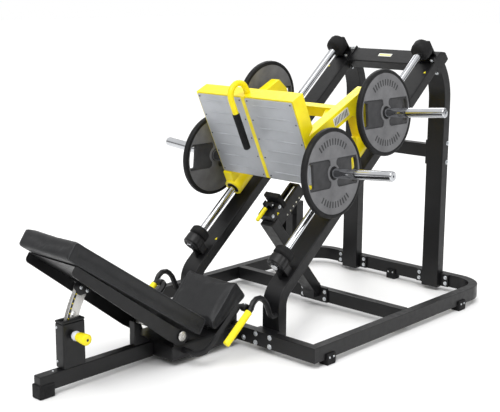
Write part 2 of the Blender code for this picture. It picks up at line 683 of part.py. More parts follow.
# ---------------------------------------------------------------- adjustable stop
def stop_frame():
    """Support leg from the middle cross-beam, its rail and two struts."""
    leg = box("stop_frame", (-LEG_HALF_W, LEG_S[0], -0.425), (LEG_HALF_W, LEG_S[1], RAIL_N[1] - 0.004),
              BLACK_PAINT, SLOPE_FRAME)
    bevel(leg, 0.005)
    rail = box("rail", (-RAIL_HALF_W, RAIL_S[0], RAIL_N[0]), (RAIL_HALF_W, RAIL_S[1], RAIL_N[1]),
               BLACK_PAINT, SLOPE_FRAME)
    bevel(rail, 0.004)
    struts = [box("strut", (-0.022, y_low, z_low), (0.022, y_high, z_high), BLACK_PAINT)
              for y_low, y_high, z_low, z_high in STOP_STRUTS]
    flange = box("flange", (-0.095, MID_BEAM_Y - 0.012, FOOT_CLEAR + 0.002),
                 (0.095, MID_BEAM_Y - GAP, 0.114), BLACK_PAINT)
    foot = box("foot", (-0.040, MID_BEAM_Y - 0.060, 0.060), (0.040, MID_BEAM_Y - 0.005, 0.135),
               BLACK_PAINT)
    trim = cutter_box((-0.2, MID_BEAM_Y - GAP, -0.2), (0.2, MID_BEAM_Y + 0.3, 0.30))
    slot = cutter_box((-0.017, 0.640, 0.138), (0.017, RAIL_S[1] - 0.012, 0.300), SLOPE_FRAME)
    cut(join(leg, rail, *struts, flange, foot), trim, slot)
    rod("stop_guide_rod", 0.008, 0.641, RAIL_S[1] - 0.0125, CHROME, along_slope(0, 0.158),
        segments=20)


def stop_block():
    """Sliding stop: it straddles the guide rod and carries the bumper and the lever."""
    low = RAIL_N[1] + GAP
    body = box("stop_block", (-0.045, 0.640, low), (0.045, 0.737, 0.222), BLACK_PAINT, SLOPE_FRAME)
    bevel(body, 0.004)
    keel = box("keel", (-0.0155, 0.650, 0.146), (0.0155, 0.730, low + 0.01), BLACK_PAINT,
               SLOPE_FRAME)
    ears = [box("ear", (min(a, b), 0.688, 0.215), (max(a, b), 0.716, 0.253), BLACK_PAINT,
                SLOPE_FRAME) for a, b in ((0.020, 0.028), (-0.028, -0.020))]
    block = join(body, keel, *ears)
    pivot = along_x(*slope_yz(*LEVER_PIVOT))
    cut(block, cutter_rod(0.0085, 0.60, 0.80, along_slope(0, 0.158)),
        cutter_rod(0.0052, -0.05, 0.05, pivot))
    bumper = box("stop_bumper", (-0.050, 0.737 + GAP, low), (0.050, 0.766, 0.265), RUBBER,
                 SLOPE_FRAME)
    bevel(bumper, 0.004)
    grip_place = along_slope(0, LEVER_PIVOT[1])
    grip = rod("stop_lever", 0.011, 0.588, 0.700, YELLOW_PLASTIC, grip_place, 0.003, 20)
    hub = rod("hub", 0.012, -0.019, 0.019, YELLOW_PLASTIC, pivot, segments=20)
    pin = rod("pin", 0.005, -0.030, 0.030, YELLOW_PLASTIC, pivot, segments=16)
    pivot_at(join(grip, hub, pin), *slope_yz(*LEVER_PIVOT))


# ---------------------------------------------------------------- seat
def centre_beam():
    beam = box("centre_beam", (-BEAM_W / 2, BEAM_END_Y, FOOT_CLEAR),
               (BEAM_W / 2, SEAT_BASE_FRONT - GAP, BEAM_TOP), BLACK_PAINT)
    bevel(beam, 0.006)
    boot = box("front_boot", (-0.031, BOOT_END_Y, 0), (0.031, BEAM_END_Y + 0.073, 0.064),
               RUBBER)
    bevel(boot, 0.005)
    edge = BEAM_W / 2 + GAP
    cut(boot, cutter_box((-edge, BEAM_END_Y - GAP, FOOT_CLEAR - GAP),
                         (edge, BEAM_END_Y + 0.2, 0.2)))


def seat_base():
    """Open-bottomed box under the seat, with the two ears of the backrest's pivot."""
    half = SEAT_BASE_HALF_W
    base = box("seat_base", (-half, SEAT_BASE_FRONT, FOOT_CLEAR), (half, -GAP, SEAT_BASE_TOP),
               BLACK_PAINT)
    bevel(base, 0.014)
    inside = cutter_box((0.005 - half, SEAT_BASE_FRONT + 0.005, FOOT_CLEAR - 0.02),
                        (half - 0.005, -0.005, SEAT_BASE_TOP - 0.005))
    base = cut(base, inside)
    y, z = PIVOT
    ears = []
    for x in (0.151, -0.151):
        crown = arc((y, z), EAR_R, 0, 180, 8)
        shape = crown + [(y - 0.036, SEAT_BASE_TOP - 0.003), (y + 0.036, SEAT_BASE_TOP - 0.003)]
        ears.append(outline("ear", [shape], 0.010, BLACK_PAINT, across(FLAT, x)))
    cut(join(base, *ears), cutter_rod(SHAFT_R + GAP, -0.3, 0.3, along_x(y, z)))


def seat():
    """Wedge cushion and the support under it."""
    wedge = [(-0.030, 0.341), (-0.202, 0.158), (-0.176, 0.118), (0.045, 0.246)]
    pad = outline("seat_pad", [wedge], 0.336, VINYL, across(FLAT, 0))
    bevel(pad, 0.008)
    low = SEAT_BASE_TOP + GAP
    shape = [(-0.165, low), (-0.006, low), (0.046, low), (0.046, 0.150), (0.028, 0.2352),
             (-0.150, 0.1318), (-0.165, 0.1180)]
    support = outline("seat_support", [shape], 0.200, BLACK_PAINT, across(FLAT, 0))
    bevel(support, 0.003)


# ---------------------------------------------------------------- backrest
def backrest():
    pad = box("backrest_pad", (-PAD_HALF_W, -PAD_L[1] - SHELL_END, 0),
              (PAD_HALF_W, -PAD_L[0] - SHELL_END, PAD_T), VINYL, PAD_FRAME)
    bevel(pad, 0.010)

    top = box("backrest_shell", (-SHELL_WALL_X, SHELL_END, SHELL_TOP - 0.005),
              (SHELL_WALL_X, -0.022, SHELL_TOP), BLACK_PAINT, BACK_FRAME)
    end_r = 0.046
    round_end = arc((0, 0), end_r, -90, 0, 6)
    corner_r = 0.020
    round_corner = arc((SHELL_END + corner_r, corner_r - 0.026), corner_r, 180, 262, 4)
    shape = [(SHELL_END, 0.018)] + round_corner + [(-0.060, -0.049)] + round_end + [(end_r, 0.018)]
    walls = [outline("wall", [shape], 0.005, BLACK_PAINT, across(BACK_FRAME, x))
             for x in (SHELL_WALL_X - 0.0025, 0.0025 - SHELL_WALL_X)]
    head_end = math.degrees(RECLINE)
    shoe = box("shoe", (-0.030, -0.560, -0.012), (-0.0093, -0.490, 0.016), BLACK_PAINT, BACK_FRAME)
    shell = join(top, *walls, shoe)
    cut(shell, cutter_rod(SHAFT_R + GAP, -0.3, 0.3, along_x(*PIVOT)))

    # curved bar about the pivot; angles are above the line that runs toward the head
    outer = arc(PIVOT, ARC_R[1], 180 - 4.9, 180 - head_end - 0.3, 10)
    inner = arc(PIVOT, ARC_R[0], 180 - head_end - 0.3, 180 - 4.9, 10)
    bar = outline("recline_arc", [outer + inner], 0.018, STEEL, across(FLAT, 0))
    middle = sum(ARC_R) / 2
    pin_angle = math.asin((PIN_Z - PIVOT[1]) / middle)
    holes = []
    for step in (0, 1):
        angle = pin_angle + RECLINE_STEP * step
        y = PIVOT[0] - middle * math.cos(angle)
        z = PIVOT[1] + middle * math.sin(angle)
        holes.append(cutter_rod(0.0125, -0.05, 0.05, along_x(y, z)))
    pivot_at(cut(bar, *holes), *PIVOT)
    return PIVOT[0] - middle * math.cos(pin_angle)


def pivot_shaft():
    """Shaft through the seat base's ears and the shell, with a cap at each end."""
    place = along_x(*PIVOT)
    end = SHELL_WALL_X + GAP
    profile = [(0, end + 0.006), (0.016, end + 0.006), (0.019, end + 0.004), (0.019, end),
               (SHAFT_R, end), (SHAFT_R, -end), (0.019, -end), (0.019, -end - 0.004),
               (0.016, -end - 0.006), (0, -end - 0.006)]
    turned("pivot_shaft", profile, STEEL, place)


def backrest_post(pin_y):
    front, rear = POST_Y
    post = box("backrest_post", (-0.030, front, BEAM_TOP + GAP), (0.030, rear, POST_TOP),
               BLACK_PAINT)
    bevel(post, 0.006)
    inside = cutter_box((-0.024, front + 0.005, BEAM_TOP + 0.001), (0.024, rear - 0.005, 0.5))
    place = along_x(pin_y, PIN_Z)
    boss = rod("boss", 0.018, 0.027, 0.044, BLACK_PAINT, place, 0.002, 24)
    post = cut(join(cut(post, inside), boss), cutter_rod(0.0105, 0, 0.1, place))
    cap = box("post_cap", (-0.030, front, POST_TOP + GAP), (0.030, rear, 0.321), PLASTIC)
    bevel(cap, 0.004)
    cut(cap, cutter_box((-0.012, front + 0.004, 0.2), (0.012, rear - 0.0012, 0.5)))

    # the plunger's tip stops just short of the curved bar, so that the bar can swing
    rod("lock_pin", 0.009, 0.0097, 0.044, STEEL, place, 0.001, 24)
    ring_profile = [(0, 0.072), (0.018, 0.072), (0.021, 0.069), (0.0225, 0.060), (0.0225, 0.049),
                    (0.020, 0.0446), (0, 0.0446)]
    turned("pin_collar", ring_profile, GREY_PLASTIC, place, 24)
    knob_profile = [(0, 0.137), (0.021, 0.137), (0.0255, 0.132), (0.0260, 0.124), (0.024, 0.096),
                    (0.021, 0.0723), (0, 0.0723)]
    turned("pin_knob", knob_profile, YELLOW_PLASTIC, place, 24)

    shape = [(-0.556, BEAM_TOP + GAP), (-0.458, BEAM_TOP + GAP), (-0.458, 0.111),
             (-0.518, 0.150), (-0.518, 0.200), (-0.556, 0.222)]
    bracket = outline("rest_bracket", [shape], 0.036, BLACK_PAINT, across(FLAT, 0))
    bevel(bracket, 0.003)


# ---------------------------------------------------------------- hand grips
def hand_grip(side, word):
    """Bent bar from the seat base, and the grip bar that hooks onto the main tube."""
    bar_x, grip_x = 0.262, 0.335
    joint = (-0.108, 0.252)
    sweep = [(SEAT_BASE_HALF_W + GAP, -0.372, 0.074), (0.190, -0.372, 0.074),
             (0.216, -0.367, 0.068), (0.238, -0.352, 0.068), (0.252, -0.330, 0.076),
             (bar_x, -0.302, 0.098), (bar_x, joint[0] - 0.022, joint[1] - 0.016),
             (0.266, joint[0] - 0.006, joint[1]), (0.276, joint[0], joint[1]),
             (grip_x - GRIP_BAR_R - 0.001, joint[0], joint[1])]
    sweep = [(side * px, py, pz) for px, py, pz in sweep]
    path_tube(f"side_bar_{word}", sweep, 0.0145, BLACK_PAINT, resolution=2)
    start = Vector((-0.272, 0.116))
    top = Vector((-0.117, 0.2405))
    heading = (top - start).normalized()
    hook = [tuple(top + heading * GAP), tuple(top + heading * 0.018), (-0.099, 0.263),
            (-0.088, 0.280), (-0.066, 0.293), (-0.040, 0.292), (-0.016, 0.278), (0.004, 0.254),
            (0.018, 0.224), (0.030, 0.195), (0.046, 0.178), (TUBE_FRONT_Y - GAP, 0.178)]
    points = [(side * grip_x, y, z) for y, z in hook]
    path_tube(f"hook_bar_{word}", points, GRIP_BAR_R, BLACK_PAINT, resolution=2)
    tilt = math.atan2(heading.x, heading.y)
    place = (Matrix.Translation((side * grip_x, start.x, start.y))
             @ Matrix.Rotation(-tilt, 4, "X"))
    length = (top - start).length
    profile = [(0, length), (0.0165, length), (0.0175, length - 0.003), (0.0175, 0.006),
               (0.0140, 0.001), (0, 0)]
    turned(f"hand_grip_{word}", profile, YELLOW_PLASTIC, place, 24)


# ---------------------------------------------------------------- build
base_frame()
mid_cross_beam()
rear_foot()
for side, word in ((1, "right"), (-1, "left")):
    side_foot(side, word, 0.115, "front")
    side_foot(side, word, 1.265, "rear")
    main_tube(side, word)
    rear_post(side, word)
    guide_rod(side, word)
    foot_panel(side, word)
    horn_and_plate(side, word, HORN_LOW, "low")
    horn_and_plate(side, word, HORN_HIGH, "high")
    hand_grip(side, word)
top_cross_beam()
rear_cross_brace()
carriage_frame()
carriage_handle()
stop_frame()
stop_block()
centre_beam()
seat_base()
seat()
backrest_post(backrest())
pivot_shaft()

root = bpy.data.objects.new("leg_press_origin", None)
parts.objects.link(root)
root.location.y = -(BASE_LENGTH + BOOT_END_Y) / 2
for piece in parts.objects:
    if piece is not root:
        piece.parent = root
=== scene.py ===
"""Looks for the leg press machine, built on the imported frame.

Metres, +Z up. Sizes are in the machine's own frame of reference: from the floor, the middle
plane and the front face of the front cross-beam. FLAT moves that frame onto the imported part.
"""

import json
import math

import bmesh
import bpy
from mathutils import Matrix, Vector
from mathutils.bvhtree import BVHTree
from mathutils.kdtree import KDTree


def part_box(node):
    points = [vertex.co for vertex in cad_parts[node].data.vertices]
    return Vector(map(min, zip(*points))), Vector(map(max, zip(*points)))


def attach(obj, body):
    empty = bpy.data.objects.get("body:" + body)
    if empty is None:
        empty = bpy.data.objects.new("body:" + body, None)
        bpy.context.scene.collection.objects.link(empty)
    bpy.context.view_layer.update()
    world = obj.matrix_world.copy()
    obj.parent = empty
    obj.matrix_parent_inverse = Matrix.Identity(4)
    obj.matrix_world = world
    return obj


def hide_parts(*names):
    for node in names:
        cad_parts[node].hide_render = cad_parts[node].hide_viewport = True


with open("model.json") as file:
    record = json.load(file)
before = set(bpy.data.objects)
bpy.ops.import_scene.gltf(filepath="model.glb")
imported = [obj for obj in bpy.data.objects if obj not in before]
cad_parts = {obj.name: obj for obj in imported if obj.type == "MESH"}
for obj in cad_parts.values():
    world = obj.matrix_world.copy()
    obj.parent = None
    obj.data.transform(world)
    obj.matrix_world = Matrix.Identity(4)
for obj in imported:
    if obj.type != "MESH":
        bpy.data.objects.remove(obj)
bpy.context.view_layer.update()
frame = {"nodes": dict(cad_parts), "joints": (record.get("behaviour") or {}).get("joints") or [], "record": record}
JOINTS = {joint["name"]: joint for joint in frame["joints"]}

# ---- driving dimensions
FRONT_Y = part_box("base_frame")[0].y
BASE_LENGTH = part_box("base_frame")[1].y - FRONT_Y
BASE_HALF_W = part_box("base_frame")[1].x
SLIDE = Vector(JOINTS["carriage_slide"]["axis"])
SLOPE = math.atan2(SLIDE.z, SLIDE.y)
PIVOT = Vector(JOINTS["backrest_recline"]["pos_m"])
LEVER = Vector(JOINTS["stop_lever_hinge"]["pos_m"])

TUBE_X = (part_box("guide_rod_right")[0].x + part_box("guide_rod_right")[1].x) / 2
TUBE_HALF_W = 0.055
BEAM_W = 0.050                  # section of the base's beams, across
LEVER_S, LEVER_N = 0.702, 0.241  # along and square to the slope
FLANGE_S = 1.8973               # front face of the flanges at the tubes' upper ends
TUBE_N = 0.165                  # top face of the inclined tubes, square to the slope
ROD_N = 0.247
ROD_BLOCK_S = 0.345             # lower face of the blocks that hold the guide rods
HOUSING_ENDS = (0.7605, 1.2675)  # the bearing seals, along the slope
RAIL_HALF_W = 0.035             # rail of the adjustable stop
STOP_HALF_W = 0.045

FOOT_TILT = math.radians(24.9)
FOOT_TOP = (0.183, 1.2156)      # y, z of the foot plate's top front edge
FOOT_LENGTH = 0.482
FOOT_HALF_W = 0.330
ARM_FACE_X = 0.330              # outer face of the carriage's arms
HANDLE_W = -0.078               # middle of the loop's grip, in front of the foot plate
PANEL_FACE = -0.0053            # front of the aluminium panels, along w
PANEL_T = 0.005
PANEL_INNER_X = 0.0118
RIB_COUNT = 7
RIB_FIRST = 0.045
RIB_STEP = 0.0655
RIB_MIDDLE_X = 0.1675
RIB_SIZE = (0.1125, 0.0030, 0.0045)  # half length, height and half width of a rib

HORN_TILT = math.radians(4.8)
PLATE_FACE_X = 0.427
PLATE_R = 0.225
PLATE_T = 0.032
PLATE_RIM_R = 0.2030            # inside of a plate's rubber rim
HORN_LOW = (0.393, 0.854)
HORN_HIGH = (0.815, 1.117)
HORN_R = 0.025
POCKET_NECK = 0.022             # half the width left between a plate's two pockets
POCKET_HUB_R = 0.045
POCKET_RIM_R = 0.197
POCKET_HALF_B = 0.072           # half height of a pocket
SLOT_INNER = 0.149              # hand slot, from here to the pocket's outer end
SLOT_HALF_B = 0.060
MARK_COUNT = 11                 # plain marks in each of a plate's two curved rows
MARK_R = (0.140, 0.172)

RECLINE = math.radians(36.1)
SHELL_END = -0.746              # head end of the shell, from the pivot
PAD_REST = 0.0193               # underside of the backrest's cushion, square to the shell
PAD_TILT = math.radians(1.6)
PAD_HALF_W = 0.181
PAD_Y = (-0.066, 0.854)         # the cushion's ends, from the shell's head end
PAD_T = 0.088
SEAT_HALF_W = 0.168
SEAT_WEDGE = [(-0.030, 0.341), (-0.202, 0.158), (-0.176, 0.118), (0.045, 0.246)]
CUSHION_TRIM = 0.0015           # a cushion before it is swollen, inside its solid
CUSHION_CORNER = 0.007
CUSHION_END_R = 0.020
CUSHION_SWELL = 0.0065
CUSHION_EDGE = 0.040            # the swelling starts at a seam and is full this far away
CUSHION_MESH = 0.0065           # size of the cloth's faces
REST_DEPTH = 0.0035             # cloth this close to a cushion's underside stays put
CLOTH_FRAMES = 20
SEAM_INSET = 0.003              # from a cushion's side to its seam
SEAM_DEPTH = 0.0022
SEAM_REACH = 0.010
CORD_R = 0.0017
ARC_R = (0.496, 0.560)
ARC_FACE = 0.009

GRIP_X = 0.335
GRIP_LOW = (-0.272, 0.116)      # y, z of the yellow grips' two ends
GRIP_TOP = (-0.117, 0.2405)
GRIP_JOINT = (-0.108, 0.252)
GRIP_JOINT_X = (0.284, 0.316)
GRIP_JOINT_R = 0.019

SOFT_EDGE = 0.0012              # rounding of the sharp edges of welded and moulded parts

CAMERA_PLACE = (3.5085, -3.4887, 1.7547)
CAMERA_AZIMUTH = math.radians(43.2752)
CAMERA_ELEVATION = math.radians(11.4545)
CAMERA_ROLL = math.radians(0.3149)
CAMERA_LENS = 73.56
CAMERA_SHIFT = (0.0012, -0.0265)

FLAT = Matrix.Translation((0, FRONT_Y, 0))
SLOPE_FRAME = FLAT @ Matrix.Rotation(SLOPE, 4, "X")
FOOT_FRAME = FLAT @ Matrix.Translation((0, *FOOT_TOP)) @ Matrix.Rotation(FOOT_TILT, 4, "X")
BACK_FRAME = Matrix.Translation(PIVOT) @ Matrix.Rotation(-RECLINE, 4, "X")
PAD_FRAME = (BACK_FRAME @ Matrix.Translation((0, SHELL_END, PAD_REST))
             @ Matrix.Rotation(PAD_TILT, 4, "X"))


# ---- materials
class Nodes:
    """A small helper to build a node material."""

    def __init__(self, name, colour, roughness, metallic=0.0):
        self.material = bpy.data.materials.new(name)
        self.material.use_nodes = True
        self.tree = self.material.node_tree
        self.shader = self.tree.nodes["Principled BSDF"]
        self.colour = colour
        self.set("Base Color", (*colour, 1.0))
        self.set("Roughness", roughness)
        self.set("Metallic", metallic)
        self.place = self.add("ShaderNodeTexCoord").outputs["Object"]

    def add(self, kind, **values):
        """A new node, with some of its settings."""
        node = self.tree.nodes.new(kind)
        for key, value in values.items():
            setattr(node, key, value)
        return node

    def set(self, socket, value):
        self.shader.inputs[socket].default_value = value

    def link(self, source, target):
        self.tree.links.new(source, target)

    def noise(self, scale, detail=2.0, stretch=(1, 1, 1)):
        mapping = self.add("ShaderNodeMapping")
        mapping.inputs["Scale"].default_value = stretch
        self.link(self.place, mapping.inputs["Vector"])
        noise = self.add("ShaderNodeTexNoise")
        noise.inputs["Scale"].default_value = scale
        noise.inputs["Detail"].default_value = detail
        self.link(mapping.outputs["Vector"], noise.inputs["Vector"])
        return noise.outputs["Fac"]

    def cells(self, scale):
        cells = self.add("ShaderNodeTexVoronoi")
        cells.inputs["Scale"].default_value = scale
        self.link(self.place, cells.inputs["Vector"])
        return cells.outputs["Distance"]

    def remap(self, source, out_low, out_high):
        """Spread the middle of a noise's range from out_low to out_high."""
        node = self.add("ShaderNodeMapRange")
        for key, value in zip(("From Min", "From Max", "To Min", "To Max"),
                              (0.35, 0.65, out_low, out_high)):
            node.inputs[key].default_value = value
        self.link(source, node.inputs["Value"])
        return node.outputs["Result"]

    def vary_colour(self, source, amount):
        """Darken and lighten the base colour by a share of it."""
        gain = self.remap(source, 1 - amount, 1 + amount)
        scale = self.add("ShaderNodeVectorMath", operation="SCALE")
        scale.inputs[0].default_value = self.colour
        self.link(gain, scale.inputs["Scale"])
        self.link(scale.outputs["Vector"], self.shader.inputs["Base Color"])

    def vary_roughness(self, source, low, high):
        self.link(self.remap(source, low, high), self.shader.inputs["Roughness"])

    def bump(self, source, distance, strength, under=None):
        """Raise the surface by source, over another bump if one is given."""
        node = self.add("ShaderNodeBump")
        node.inputs["Distance"].default_value = distance
        node.inputs["Strength"].default_value = strength
        self.link(source, node.inputs["Height"])
        if under is not None:
            self.link(under, node.inputs["Normal"])
        self.link(node.outputs["Normal"], self.shader.inputs["Normal"])
        return node.outputs["Normal"]


def powder_coat(name, colour, roughness, specular):
    """Baked powder paint: a fine orange peel and slightly uneven gloss."""
    n = Nodes(name, colour, roughness)
    n.vary_colour(n.noise(9.0, 3.0), 0.10)
    n.vary_roughness(n.noise(34.0), roughness - 0.06, roughness + 0.08)
    n.bump(n.noise(620.0, 3.0), 0.0004, 0.35)
    n.set("Specular IOR Level", specular)
    return n.material


def chrome():
    """Ground and hard-chromed bar, with faint turning marks."""
    n = Nodes("hard_chrome", (0.54, 0.55, 0.57), 0.10, 1.0)
    n.vary_roughness(n.noise(60.0), 0.07, 0.17)
    n.vary_colour(n.noise(14.0), 0.05)
    n.bump(n.noise(900.0, 1.0), 0.00004, 0.20)
    return n.material


def brushed(name, colour, roughness, stretch):
    """Metal brushed one way: long thin streaks in colour, gloss and height."""
    n = Nodes(name, colour, roughness, 0.9)
    streaks = n.noise(260.0, 4.0, stretch)
    n.vary_colour(streaks, 0.10)
    n.vary_roughness(streaks, roughness - 0.08, roughness + 0.10)
    n.bump(streaks, 0.0001, 0.30)
    return n.material


def panel_aluminium():
    """Matt anodised sheet: fine grit, and soft scuffs where feet rest."""
    n = Nodes("panel_aluminium", (0.40, 0.415, 0.44), 0.46, 0.35)
    n.vary_colour(n.noise(5.0, 4.0), 0.07)
    n.vary_roughness(n.noise(16.0, 4.0), 0.40, 0.54)
    n.bump(n.noise(900.0, 2.0), 0.0002, 0.45)
    return n.material


def rubber(name, colour, roughness=0.68):
    """Moulded rubber: matt, with a fine sandy skin and a little bloom."""
    n = Nodes(name, colour, roughness)
    n.vary_colour(n.noise(12.0, 4.0), 0.16)
    n.vary_roughness(n.noise(40.0), roughness - 0.06, min(roughness + 0.10, 0.95))
    fine = n.bump(n.noise(780.0, 3.0), 0.0004, 0.45)
    n.bump(n.cells(420.0), 0.0002, 0.25, fine)
    n.set("Specular IOR Level", 0.22)
    return n.material


def vinyl(name, colour):
    """Upholstery vinyl: pebbled grain, soft sheen, small colour drift."""
    n = Nodes(name, colour, 0.50)
    n.vary_colour(n.noise(7.0, 3.0), 0.12)
    n.vary_roughness(n.noise(22.0), 0.44, 0.58)
    grain = n.bump(n.cells(430.0), 0.0007, 0.55)
    n.bump(n.noise(90.0, 3.0), 0.0006, 0.25, grain)
    n.set("Specular IOR Level", 0.30)
    n.set("Sheen Weight", 0.04)
    n.set("Sheen Roughness", 0.5)
    return n.material


def plastic(name, colour, roughness):
    """Injection-moulded plastic with a fine spark-eroded texture."""
    n = Nodes(name, colour, roughness)
    n.vary_colour(n.noise(20.0), 0.05)
    n.vary_roughness(n.noise(50.0), roughness - 0.05, roughness + 0.07)
    n.bump(n.noise(700.0, 2.0), 0.0002, 0.30)
    n.set("Specular IOR Level", 0.35)
    return n.material


BLACK_PAINT = powder_coat("black_powder_coat", (0.0060, 0.0060, 0.0066), 0.36, 0.30)
YELLOW_PAINT = powder_coat("yellow_powder_coat", (0.84, 0.69, 0.006), 0.34, 0.35)
CHROME = chrome()
STAINLESS = brushed("brushed_stainless", (0.55, 0.54, 0.52), 0.30, (1, 1, 0.04))
ZINC = brushed("zinc_plated", (0.58, 0.60, 0.62), 0.30, (1, 1, 1))
PANEL = panel_aluminium()
RUBBER = rubber("black_rubber", (0.0075, 0.0075, 0.0080))
RIM_RUBBER = rubber("plate_rim_rubber", (0.0090, 0.0090, 0.0095), 0.60)
FACE_GREY = rubber("plate_face_grey", (0.145, 0.145, 0.150), 0.55)
POCKET_GREY = rubber("plate_pocket_grey", (0.045, 0.045, 0.047), 0.62)
VINYL = vinyl("black_vinyl", (0.0105, 0.0108, 0.0118))
THREAD = vinyl("seam_piping", (0.030, 0.031, 0.034))
BLACK_PLASTIC = plastic("black_plastic", (0.0075, 0.0075, 0.0082), 0.48)
GREY_PLASTIC = plastic("pale_grey_plastic", (0.62, 0.64, 0.70), 0.32)
YELLOW_PLASTIC = plastic("yellow_plastic", (0.86, 0.72, 0.010), 0.40)
LABEL_WHITE = plastic("label_pale", (0.66, 0.66, 0.60), 0.45)
DARK_STEEL = brushed("blackened_steel", (0.045, 0.045, 0.048), 0.42, (1, 1, 1))

FINISH = {
    "black_paint": BLACK_PAINT,
    "yellow_paint": YELLOW_PAINT,
    "chrome": CHROME,
    "stainless": STAINLESS,
    "aluminium": PANEL,
    "black_rubber": RUBBER,
    "plate_rubber": RIM_RUBBER,
    "black_vinyl": VINYL,
    "black_plastic": BLACK_PLASTIC,
    "grey_plastic": GREY_PLASTIC,
    "yellow_plastic": YELLOW_PLASTIC,
}


# ---- dressing the CAD nodes
def smoothing_group():
    """Geometry nodes that shade a mesh smooth up to an angle."""
    group = bpy.data.node_groups.new("smooth_by_angle", "GeometryNodeTree")
    group.interface.new_socket("Geometry", in_out="INPUT", socket_type="NodeSocketGeometry")
    group.interface.new_socket("Geometry", in_out="OUTPUT", socket_type="NodeSocketGeometry")
    entry = group.nodes.new("NodeGroupInput")
    leave = group.nodes.new("NodeGroupOutput")
    faces = group.nodes.new("GeometryNodeSetShadeSmooth")
    faces.domain = "FACE"
    edges = group.nodes.new("GeometryNodeSetShadeSmooth")
    edges.domain = "EDGE"
    edges.inputs["Shade Smooth"].default_value = False
    angle = group.nodes.new("GeometryNodeInputMeshEdgeAngle")
    compare = group.nodes.new("FunctionNodeCompare")
    compare.data_type = "FLOAT"
    compare.operation = "GREATER_THAN"
    compare.inputs["B"].default_value = math.radians(37)
    link = group.links.new
    link(entry.outputs[0], faces.inputs["Geometry"])
    link(faces.outputs["Geometry"], edges.inputs["Geometry"])
    link(angle.outputs["Unsigned Angle"], compare.inputs["A"])
    link(compare.outputs["Result"], edges.inputs["Selection"])
    link(edges.outputs["Geometry"], leave.inputs[0])
    return group


SMOOTHING = smoothing_group()


def dress(node, material, edge=0.0):
    """Give a CAD node its finish, with welded smooth shading and softened edges."""
    obj = frame["nodes"][node]
    obj.data.materials.clear()
    obj.data.materials.append(material)
    if "custom_normal" in obj.data.attributes:
        obj.data.attributes.remove(obj.data.attributes["custom_normal"])
    weld = obj.modifiers.new("weld", "WELD")
    weld.merge_threshold = 0.00002
    flatten = obj.modifiers.new("flatten", "DECIMATE")
    flatten.decimate_type = "DISSOLVE"
    flatten.angle_limit = math.radians(0.6)
    if edge:
        soften = obj.modifiers.new("soften", "BEVEL")
        soften.width = edge
        soften.segments = 2
        soften.limit_method = "ANGLE"
        soften.angle_limit = math.radians(42)
    smooth = obj.modifiers.new("smooth", "NODES")
    smooth.node_group = SMOOTHING
    even = obj.modifiers.new("even", "WEIGHTED_NORMAL")
    even.keep_sharp = True
    even.weight = 80


def dress_all():
    """Dress every CAD node by its material slot in the record."""
    slots = {entry["node"]: entry["material_slot"] for entry in frame["record"]["subparts"]}
    sharp = ("foot_", "front_boot", "seat_base", "backrest_shell", "recline_arc", "post_cap",
             "backrest_post", "rod_block", "stop_", "carriage_frame", "rear_post", "main_tube",
             "top_cross_beam", "rear_cross_brace")
    for node in frame["nodes"]:
        edge = SOFT_EDGE if node.startswith(sharp) else 0.0
        dress(node, FINISH[slots[node]], edge)


# ---- mesh helpers
def mesh_from(name, bm):
    """A mesh made from a bmesh, which is freed."""
    mesh = bpy.data.meshes.new(name)
    bm.to_mesh(mesh)
    bm.free()
    return mesh


def place_mesh(name, mesh, material, matrix, smooth=35.0):
    """An object made of a mesh, in one material, with edges sharp above an angle."""
    obj = bpy.data.objects.new(name, mesh)
    bpy.context.scene.collection.objects.link(obj)
    obj.matrix_world = matrix
    mesh.materials.clear()
    mesh.materials.append(material)
    mesh.shade_smooth()
    mesh.set_sharp_from_angle(angle=math.radians(smooth))
    return obj


def baked(obj):
    """An object's evaluated mesh, welded, with the object removed."""
    bpy.context.view_layer.update()
    graph = bpy.context.evaluated_depsgraph_get()
    mesh = bpy.data.meshes.new_from_object(obj.evaluated_get(graph))
    bpy.data.objects.remove(obj)
    bm = bmesh.new()
    bm.from_mesh(mesh)
    bmesh.ops.remove_doubles(bm, verts=bm.verts, dist=0.00001)
    bmesh.ops.recalc_face_normals(bm, faces=bm.faces)
    bm.to_mesh(mesh)
    bm.free()
    return mesh


def outline(name, loops, thickness, edge, material, matrix):
    """A flat shape with holes, extruded both ways, its edges rounded by edge."""
    curve = bpy.data.curves.new(name, "CURVE")
    curve.dimensions = "2D"
    curve.fill_mode = "BOTH"
    curve.extrude = thickness / 2 - edge
    curve.bevel_depth = edge
    curve.bevel_resolution = 1
    curve.offset = -edge
    for loop in loops:
        spline = curve.splines.new("POLY")
        spline.points.add(len(loop) - 1)
        for point, (a, b) in zip(spline.points, loop):
            point.co = (a, b, 0, 1)
        spline.use_cyclic_u = True
    temp = bpy.data.objects.new(name, curve)
    bpy.context.scene.collection.objects.link(temp)
    return place_mesh(name, baked(temp), material, matrix)


def turned(name, profile, material, matrix, segments=64):
    """A turned solid from (radius, height) points, closed round its own Z axis."""
    bm = bmesh.new()
    verts = [bm.verts.new((radius, 0, height)) for radius, height in profile]
    edges = [bm.edges.new(pair) for pair in zip(verts, verts[1:])]
    bmesh.ops.spin(bm, geom=verts + edges, cent=(0, 0, 0), axis=(0, 0, 1),
                   angle=math.tau, steps=segments)
    bmesh.ops.remove_doubles(bm, verts=bm.verts, dist=0.00001)
    bmesh.ops.recalc_face_normals(bm, faces=bm.faces)
    return place_mesh(name, mesh_from(name, bm), material, matrix)


